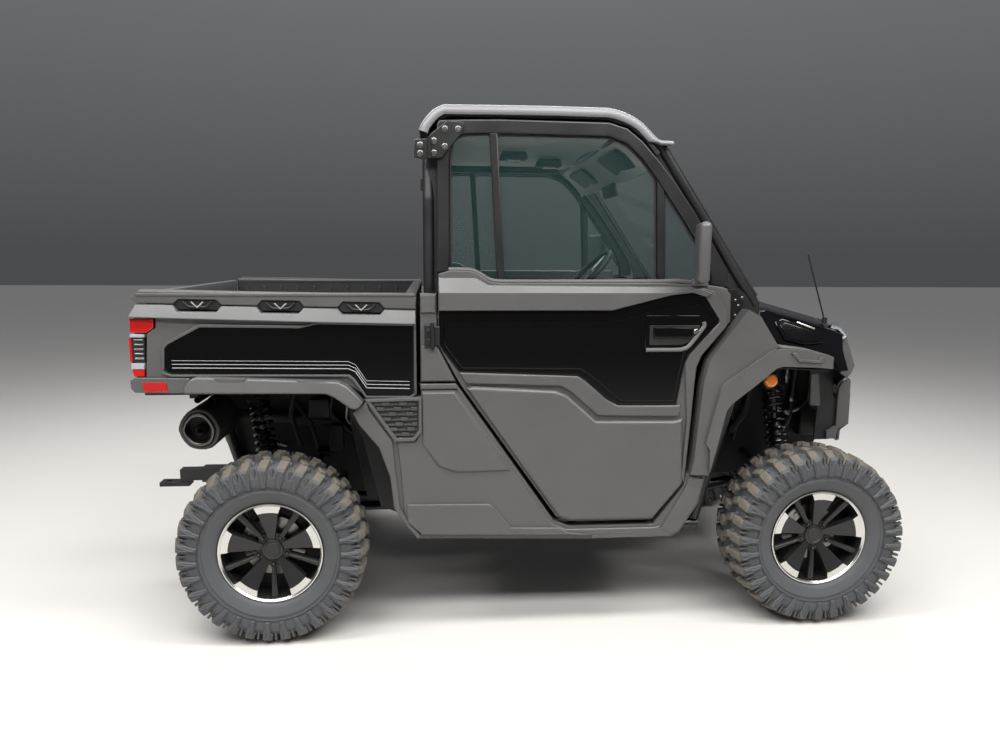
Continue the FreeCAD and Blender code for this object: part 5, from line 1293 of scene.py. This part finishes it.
def lowerHinge():
    bm = slab([(-322, 1164), (-292, 1164), (-292, 1084), (-322, 1084)], -730, -758, 3, 2)
    joinMesh(bm, slab([(-296, 1158), (-268, 1158), (-268, 1090), (-296, 1090)], -730, -754, 3, 2))
    joinMesh(bm, bar([(-294, -758, 1078), (-294, -758, 1170)], 7.5, 12))
    for z in (1142, 1106):
        joinMesh(bm, boltHead(-308, z, -758, 12, 6, 17), 1)
    return bm


onBothSides(roofSeal, "roof_seal", "chassis", "cabPlastic")
onBothSides(topHinge, "door_top_hinge", "chassis", ("powderSteel", "platedSteel"), ("door_hinge_brackets",), 30)
onBothSides(lowerHinge, "door_low_hinge", "chassis", ("powderSteel", "powderSteel"), smooth=30)
finishPiece(roofShell(), "roof_skin", "chassis", "roofPlastic", ("roof",), 40)
finishPiece(headLining(), "head_lining", "chassis", "liningFelt", smooth=50)
print("roof ready")

# springs and dampers

shocks = [
    # lower eye, upper eye
    ((1140, -470, 530), (1146, -340, 900)),
    ((-926, -470, 530), (-1000, -340, 860)),
]


def coilOver(low, top):
    low, top = Vector(low), Vector(top)
    run = top - low
    long = run.length
    bm = spun([(0, 0.03 * long), (17, 0.03 * long), (19, 0.05 * long), (19, 0.17 * long), (45, 0.19 * long),
               (46, 0.215 * long),
               (30, 0.225 * long), (25, 0.24 * long), (25, 0.52 * long), (22, 0.54 * long), (9, 0.55 * long),
               (9, 0.85 * long),
               (28, 0.86 * long), (45, 0.88 * long), (46, 0.905 * long), (20, 0.92 * long), (16, 0.97 * long),
               (0, 0.98 * long)], 32)
    painted(bm, 1)
    for face in bm.faces:
        if 0.54 * long < face.calc_center_median().y < 0.86 * long:
            face.material_index = 2
    turns, steps = 8.5, 22
    spring = []
    for i in range(int(turns * steps) + 1):
        share = i / (turns * steps)
        ease = share + 0.03 * math.sin(2 * math.pi * share) * -1
        angle = 2 * math.pi * i / steps
        spring.append((38 * math.sin(angle), (0.235 + 0.62 * ease) * long, 38 * math.cos(angle)))
    joinMesh(bm, bar(spring, 6.4, 10), 0)
    placed(bm, Matrix.Translation(low) @ Vector((0, 1, 0)).rotation_difference(run).to_matrix().to_4x4())
    for end in (low, top):
        eye = spun([(8, -19), (20, -19), (20, 19), (8, 19)], 24)
        placed(eye, Matrix.Translation(end) @ Matrix.Rotation(math.pi / 2, 4, "Z"))
        joinMesh(bm, eye, 1)
        bolt = spun([(0, -20), (9, -20), (9, 20), (0, 20)], 12)
        placed(bolt, Matrix.Translation(end) @ Matrix.Rotation(math.pi / 2, 4, "Z"))
        joinMesh(bm, bolt, 2)
    return bm


def coilSprings():
    bm = bmesh.new()
    for low, top in shocks:
        joinMesh(bm, coilOver(low, top))
    return bm


onBothSides(coilSprings, "coil_springs", "chassis", ("springEnamel", "powderSteel", "platedSteel"),
            ("coil_overs",), 40)

# muffler, rear bay and underside

muffler = {
    "can": [(-1226, 775), (-1178, 849), (-1108, 849), (-1062, 775), (-1092, 697), (-1180, 697)],
    "lip": [(-1208, 775), (-1169, 834), (-1117, 834), (-1080, 775), (-1103, 712), (-1170, 712)],
    "cup": [(-1197, 775), (-1164, 821), (-1122, 821), (-1093, 775), (-1111, 724), (-1165, 724)],
}


def trimmed(outline, share):
    # cuts every corner of an outline at a share of its sides
    spots = []
    for before, here, after in zip(outline[-1:] + outline[:-1], outline, outline[1:] + outline[:1]):
        spots += [tuple(here[k] + (other[k] - here[k]) * share for k in (0, 1)) for other in (before, after)]
    return spots


def mufflerCan():
    rims = {name: trimmed(trimmed(outline, 0.22), 0.3) for name, outline in muffler.items()}
    bm = slab(rims["can"], -346, -592, 8, 3, both=True)
    for outer, inner, low, high, soft, index in (("can", "lip", -586, -642, 6, 0), ("lip", "cup", -586, -650, 4, 1)):
        joinMesh(bm, frameSlab(rims[outer], rims[inner], low, high, soft, 3), index)
    joinMesh(bm, slab(rims["cup"], -590, -596, 0), 2)
    outlet = spun([(11, -628), (16, -636), (20, -628), (22, -594), (11, -594)], 28)
    moved(outlet, (-1140, 0, 766))
    joinMesh(bm, outlet, 1)
    joinMesh(bm, bar(rounded([(-1108, -350, 765), (-1072, -262, 748), (-600, -262, 700)], 50, 8), 23, 20))
    for x in (-1168, -1118):
        joinMesh(bm, bar([(x, -302, 866), (x, -560, 866)], 11, 12), 2)
    return bm


def rearBay():
    # dark splash panel behind the rear springs, with stays, a hose and a clamp before it
    bm = slab([(-1165, 846), (-1168, 640), (-1130, 560), (-1060, 500), (-560, 500), (-470, 600), (-470, 846)], -226,
              -232, 2, 1, 20)
    joinMesh(bm, slab([(-560, 860), (-610, 820), (-560, 700), (-528, 560), (-500, 440), (-400, 400), (-340, 400),
                       (-340, 900), (-540, 900)],
                      -560, -566, 2, 1))
    joinMesh(bm, slab([(-640, 846), (-560, 846), (-520, 640), (-520, 420), (-560, 420), (-600, 620)], -420, -426, 2, 1))
    runs = [
        ([(-860, -300, 850), (-880, -300, 760), (-840, -300, 620)], 10, 0),
        ([(-900, -260, 850), (-790, -300, 700), (-770, -300, 610)], 9, 0),
        ([(-700, -300, 850), (-720, -310, 760), (-660, -310, 700), (-600, -300, 640)], 13, 1),
        ([(-640, -330, 840), (-650, -330, 730), (-615, -330, 706), (-615, -330, 650)], 6, 2),
        ([(-1010, -262, 690), (-980, -280, 640), (-900, -290, 620)], 8, 2),
    ]
    for path, radius, index in runs:
        joinMesh(bm, bar(rounded(path, 24), radius, 12), index)
    joinMesh(bm, block((90, 60, 80), (-760, -300, 780), (0.9, 0.9), 8, 2), 1)
    joinMesh(bm, block((60, 50, 110), (-690, -330, 660), (0.9, 0.9), 8, 2), 0)
    return bm


finishPiece(mufflerCan(), "muffler_can", "chassis", ("heatCoat", "warmSteel", "castPaint"), ("muffler",), 30)
onBothSides(rearBay, "rear_bay", "chassis", ("castPaint", "hoseRubber", "platedSteel"), smooth=40)
print("underside ready")

# seals beside the pillars


def pillarSeal():
    front = [(446, 1812), (509, 1748), (568, 1679), (648, 1573), (720, 1464), (772, 1381), (789, 1335), (800, 1290),
             (868, 1270), (840, 1330), (780, 1420), (700, 1540), (620, 1660), (545, 1760), (500, 1800)]
    bm = slab(front, -640, -662, 3, 1)
    joinMesh(bm, slab([(-306, 1270), (-268, 1270), (-268, 1780), (-306, 1780)], -640, -672, 3, 1))
    # welt along the windshield side of the tube
    joinMesh(bm, bar(rounded([(556, -664, 1786), (640, -668, 1662), (760, -668, 1486), (912, -672, 1262)], 20), 6, 8))
    return bm


onBothSides(pillarSeal, "pillar_seal", "chassis", "cabPlastic")

# cab inside

bench = {
    "half": 596, "seams": (-402, -202, 202, 402),
    "cushion": [(-120, 722), (228, 722), (318, 736), (344, 768), (346, 806), (322, 832), (260, 836), (200, 832),
                (60, 824), (-60, 818), (-118, 812)],
    "back": [(-122, 800), (-62, 806), (-58, 850), (-74, 950), (-98, 1070), (-122, 1180), (-146, 1280), (-168, 1312),
             (-196, 1320),
             (-222, 1314), (-234, 1286), (-222, 1180), (-204, 1000), (-186, 860), (-172, 780)],
}


def smoothLoop(points, count=72):
    # closed outline rounded by a spline and spread into even steps
    spots = [Vector((x, 0, z)) for x, z in points]
    size = len(spots)
    fine = []
    for i in range(size):
        a, b, c, d = (spots[(i + k - 1) % size] for k in range(4))
        for step in range(10):
            t = step / 10
            spot = 2 * b + (c - a) * t + (2 * a - 5 * b + 4 * c - d) * t * t + (3 * b - a - 3 * c + d) * t ** 3
            fine.append(0.5 * spot)
    lengths = [0.0]
    for a, b in zip(fine, fine[1:] + fine[:1]):
        lengths.append(lengths[-1] + (b - a).length)
    result, at = [], 0
    for k in range(count):
        want = lengths[-1] * k / count
        while lengths[at + 1] < want:
            at += 1
        share = (want - lengths[at]) / (lengths[at + 1] - lengths[at])
        result.append(fine[at].lerp(fine[(at + 1) % len(fine)], share))
    return result


def benchPad(section, seams, half, puff, stitch):
    # padded roll: the section runs across the cab, swells between the seams and closes round at its ends
    loop = smoothLoop(section)
    middle = sum(loop, Vector()) / len(loop)
    stations = sorted({-half + 2 * half * i / 96 for i in range(97)} | {seam + off for seam in seams for off in (-5,
                                                                                                                 -2,
                                                                                                                 0, 2,
                                                                                                                 5)})
    bounds = [-half] + list(seams) + [half]
    bm = bmesh.new()
    rings = []
    for y in stations:
        cell = next(i for i in range(len(bounds) - 1) if y <= bounds[i + 1])
        share = (y - bounds[cell]) / (bounds[cell + 1] - bounds[cell])
        swell = (1 - abs(2 * share - 1) ** 4) * puff
        end = max(0.0, abs(y) - half + 34) / 34
        pull = 1 - (1 - min(1, end) ** 2.4) ** (1 / 2.4)
        ring = []
        for k, spot in enumerate(loop):
            before, after = loop[k - 1], loop[(k + 1) % len(loop)]
            along = (after - before).normalized()
            out = Vector((along.z, 0, -along.x))
            if out.dot(spot - middle) < 0:
                out = -out
            near = min(abs((k - at + 36) % 72 - 36) for at in stitch)
            groove = 4.5 * math.exp(-(near / 0.8) ** 2)
            place = spot + out * (swell - puff - groove) - out * 30 * pull
            ring.append(bm.verts.new((place.x, y, place.z)))
        rings.append(ring)
    for a, b in zip(rings, rings[1:]):
        for k in range(len(a)):
            bm.faces.new((a[k], b[k], b[(k + 1) % len(a)], a[(k + 1) % len(a)]))
    for ring in (rings[0], rings[-1]):
        bm.faces.new(ring)
    return faceOut(bm)


for name, stitch in (("cushion", (20, 30, 40, 50)), ("back", (12, 20, 28))):
    pad = finishPiece(benchPad(bench[name], bench["seams"], bench["half"], 9, stitch), "bench_" + name, "chassis",
                      "seatVinyl", ("seats",), 60)
# moulded shell that closes the seam between the backs
finishPiece(slab([(-240, 745), (-229, 745), (-226, 1294), (-240, 1298)], -566, 566, 3, 2), "seat_shell", "chassis",
            "cabPlastic")
print("seats ready")


def steeringWheel():
    ring = spun([(165 + 13.5 * math.cos(a), 13.5 * math.sin(a)) for a in [2 * math.pi * i / 14 for i in range(14)]], 72)
    for i in range(3):
        angle = math.radians(90 + 120 * i)
        spoke = block((132, 9, 30), (95, -3, 0), (1, 1), 3, 2)
        placed(spoke, Matrix.Rotation(angle, 4, "Y"))
        joinMesh(ring, spoke, 1)
    joinMesh(ring, spun([(0, 6), (30, 5), (44, 0), (48, -10), (40, -22), (20, -32), (0, -33)], 40))
    spin = Vector((0, 1, 0)).rotation_difference(Vector((-1, 0, 1))).to_matrix().to_4x4()
    placed(ring, Matrix.Translation((470, 345, 1305)) @ spin)
    return ring


def dashBoard():
    bm = slab([(505, 1010), (486, 1100), (492, 1180), (540, 1236), (620, 1262), (760, 1276), (852, 1280), (852, 1100),
               (700, 1010)],
              -604, 604, 14, 3, 18, both=True)
    # hood over the instruments, centre stack and a grab bar before the passenger
    joinMesh(bm, slab([(560, 1236), (566, 1272), (600, 1290), (700, 1290), (760, 1270), (700, 1240)], 214, 476, 10, 3,
                      8, both=True))
    joinMesh(bm, slab([(556, 1232), (560, 1268), (566, 1270), (568, 1234)], 236, 454, 2, 1, both=True), 1)
    joinMesh(bm, slab([(484, 1010), (480, 1190), (530, 1236), (560, 1236), (560, 1010)], -110, 110, 8, 3, both=True))
    joinMesh(bm, slab([(480, 1090), (480, 1180), (486, 1182), (486, 1090)], -90, 90, 2, 1, both=True), 1)
    joinMesh(bm, bar(rounded([(530, -520, 1180), (482, -500, 1190), (482, -250, 1190), (530, -230, 1180)], 30), 12, 12))
    for y in (-560, -160, 160, 540):
        joinMesh(bm, block((30, 70, 36), (500, y, 1160), (0.9, 0.9), 4, 2), 1)
    return bm


def ceilingGear():
    # two ceiling lamps, sun visors and the inner mirror on its stalk
    bm = bmesh.new()
    for x, y in ((60, -60), (250, 180)):
        joinMesh(bm, block((120, 90, 34), (x, y, 1828), (0.86, 0.86), 8, 2), 0)
        joinMesh(bm, block((60, 46, 8), (x, y, 1808), (1, 1), 3, 2), 1)
    for y in (-330, 330):
        visor = slab([(0, -160), (150, -160), (150, 160), (0, 160)], 0, 12, 5, 2, 20, axis="z", both=True)
        placed(visor, Matrix.Translation((398, y, 1800)) @ Matrix.Rotation(math.radians(34), 4, "Y"))
        joinMesh(bm, visor, 0)
    joinMesh(bm, block((18, 220, 58), (500, 0, 1690), (1, 0.94), 7, 3, Matrix.Rotation(math.radians(-12), 3, "Y")), 0)
    joinMesh(bm, bar([(508, 0, 1715), (530, 0, 1768)], 8, 12), 0)
    return bm


finishPiece(steeringWheel(), "steering_grip", "steering_wheel", ("cabPlastic", "platedSteel"),
            ("steering_wheel",), 40)
finishPiece(dashBoard(), "dash_panel", "chassis", ("cabPlastic", "glossPlastic"), ("dashboard",), 30)
finishPiece(ceilingGear(), "ceiling_gear", "chassis", ("cabPlastic", "clearLens"), smooth=30)
print("cab ready")

# frame pieces that nothing replaces get their finishes


def coverNode(name, finish):
    node = nodes[name]
    node.data.materials.clear()
    node.data.materials.append(paint[finish])


covers = {
    "powderSteel": ("chassis_frame", "roll_cage", "suspension_arms", "hitch", "door_hinge_brackets", "rear_knuckles",
                    "knuckle_right", "knuckle_left", "antenna"),
    "mouldedPlastic": ("front_fascia", "front_fenders", "rocker_panels", "bed_sides", "tailgate", "door_right",
                       "door_left", "rear_corners", "cab_rear_panel", "cowl"),
    "glossPlastic": ("hood", "door_insert_right", "door_insert_left"),
    "roofPlastic": ("roof",),
    "tintedGlass": ("windshield", "rear_window", "door_glass_right", "door_glass_left"),
    "cabPlastic": ("floor_tub", "dashboard", "steering_wheel", "mirror_right", "mirror_left", "bed_tub"),
    "castPaint": ("engine_block", "drive_axles", "coil_overs"),
    "heatCoat": ("muffler",),
    "clearLens": ("headlamps",),
    "redLens": ("tail_lamps",),
}
for finish, names in covers.items():
    for name in names:
        if not nodes[name].hide_render:
            coverNode(name, finish)
print("frame covered")

# floor, light and the view

floorMaterial = bpy.data.materials.new("paleFloor")
floorMaterial.use_nodes = True
floorShader = floorMaterial.node_tree.nodes["Principled BSDF"]
floorShader.inputs["Base Color"].default_value = linearColour("#cfccc7")
floorShader.inputs["Roughness"].default_value = 0.55
floorMesh = bmesh.new()
bmesh.ops.create_grid(floorMesh, x_segments=1, y_segments=1, size=30)
mesh = bpy.data.meshes.new("floor")
floorMesh.to_mesh(mesh)
floorMesh.free()
mesh.materials.append(floorMaterial)
floor = bpy.data.objects.new("floor", mesh)
bpy.context.scene.collection.objects.link(floor)

world = bpy.data.worlds.new("studio")
world.use_nodes = True
worldNodes, worldLinks = world.node_tree.nodes, world.node_tree.links
# dim at eye level and brighter overhead, so that level gloss stays dark
heading = worldNodes.new("ShaderNodeTexCoord")
parts = worldNodes.new("ShaderNodeSeparateXYZ")
lift = worldNodes.new("ShaderNodeMapRange")
lift.inputs["From Min"].default_value = 0.0
lift.inputs["From Max"].default_value = 0.8
lift.inputs["To Min"].default_value = 0.10
lift.inputs["To Max"].default_value = 0.42
worldLinks.new(heading.outputs["Generated"], parts.inputs[0])
worldLinks.new(parts.outputs["Z"], lift.inputs["Value"])
worldLinks.new(lift.outputs["Result"], worldNodes["Background"].inputs["Strength"])
worldNodes["Background"].inputs["Color"].default_value = linearColour("#d9dbe0")
bpy.context.scene.world = world

lamps = [
    # name, place, size, turn, power
    ("overheadLeft", (-2.2, -1.9, 4.4), (3.4, 0.7), (22, -10, 0), 135),
    ("overheadRight", (1.9, -1.9, 4.4), (3.4, 0.7), (22, 10, 0), 135),
    ("farOverhead", (0.0, 2.4, 4.2), (5.4, 0.8), (-30, 0, 0), 150),
    ("beltStrip", (-0.2, -3.7, 4.3), (8.0, 0.8), (42, 0, 0), 310),
]
for name, place, size, turn, power in lamps:
    light = bpy.data.lights.new(name, "AREA")
    light.shape = "RECTANGLE"
    light.size, light.size_y = size
    light.energy = power
    lamp = bpy.data.objects.new(name, light)
    lamp.location = place
    lamp.rotation_euler = [math.radians(angle) for angle in turn]
    bpy.context.scene.collection.objects.link(lamp)
bpy.context.scene.view_settings.view_transform = "Standard"
bpy.context.scene.view_settings.exposure = 0.0
print("stage ready")
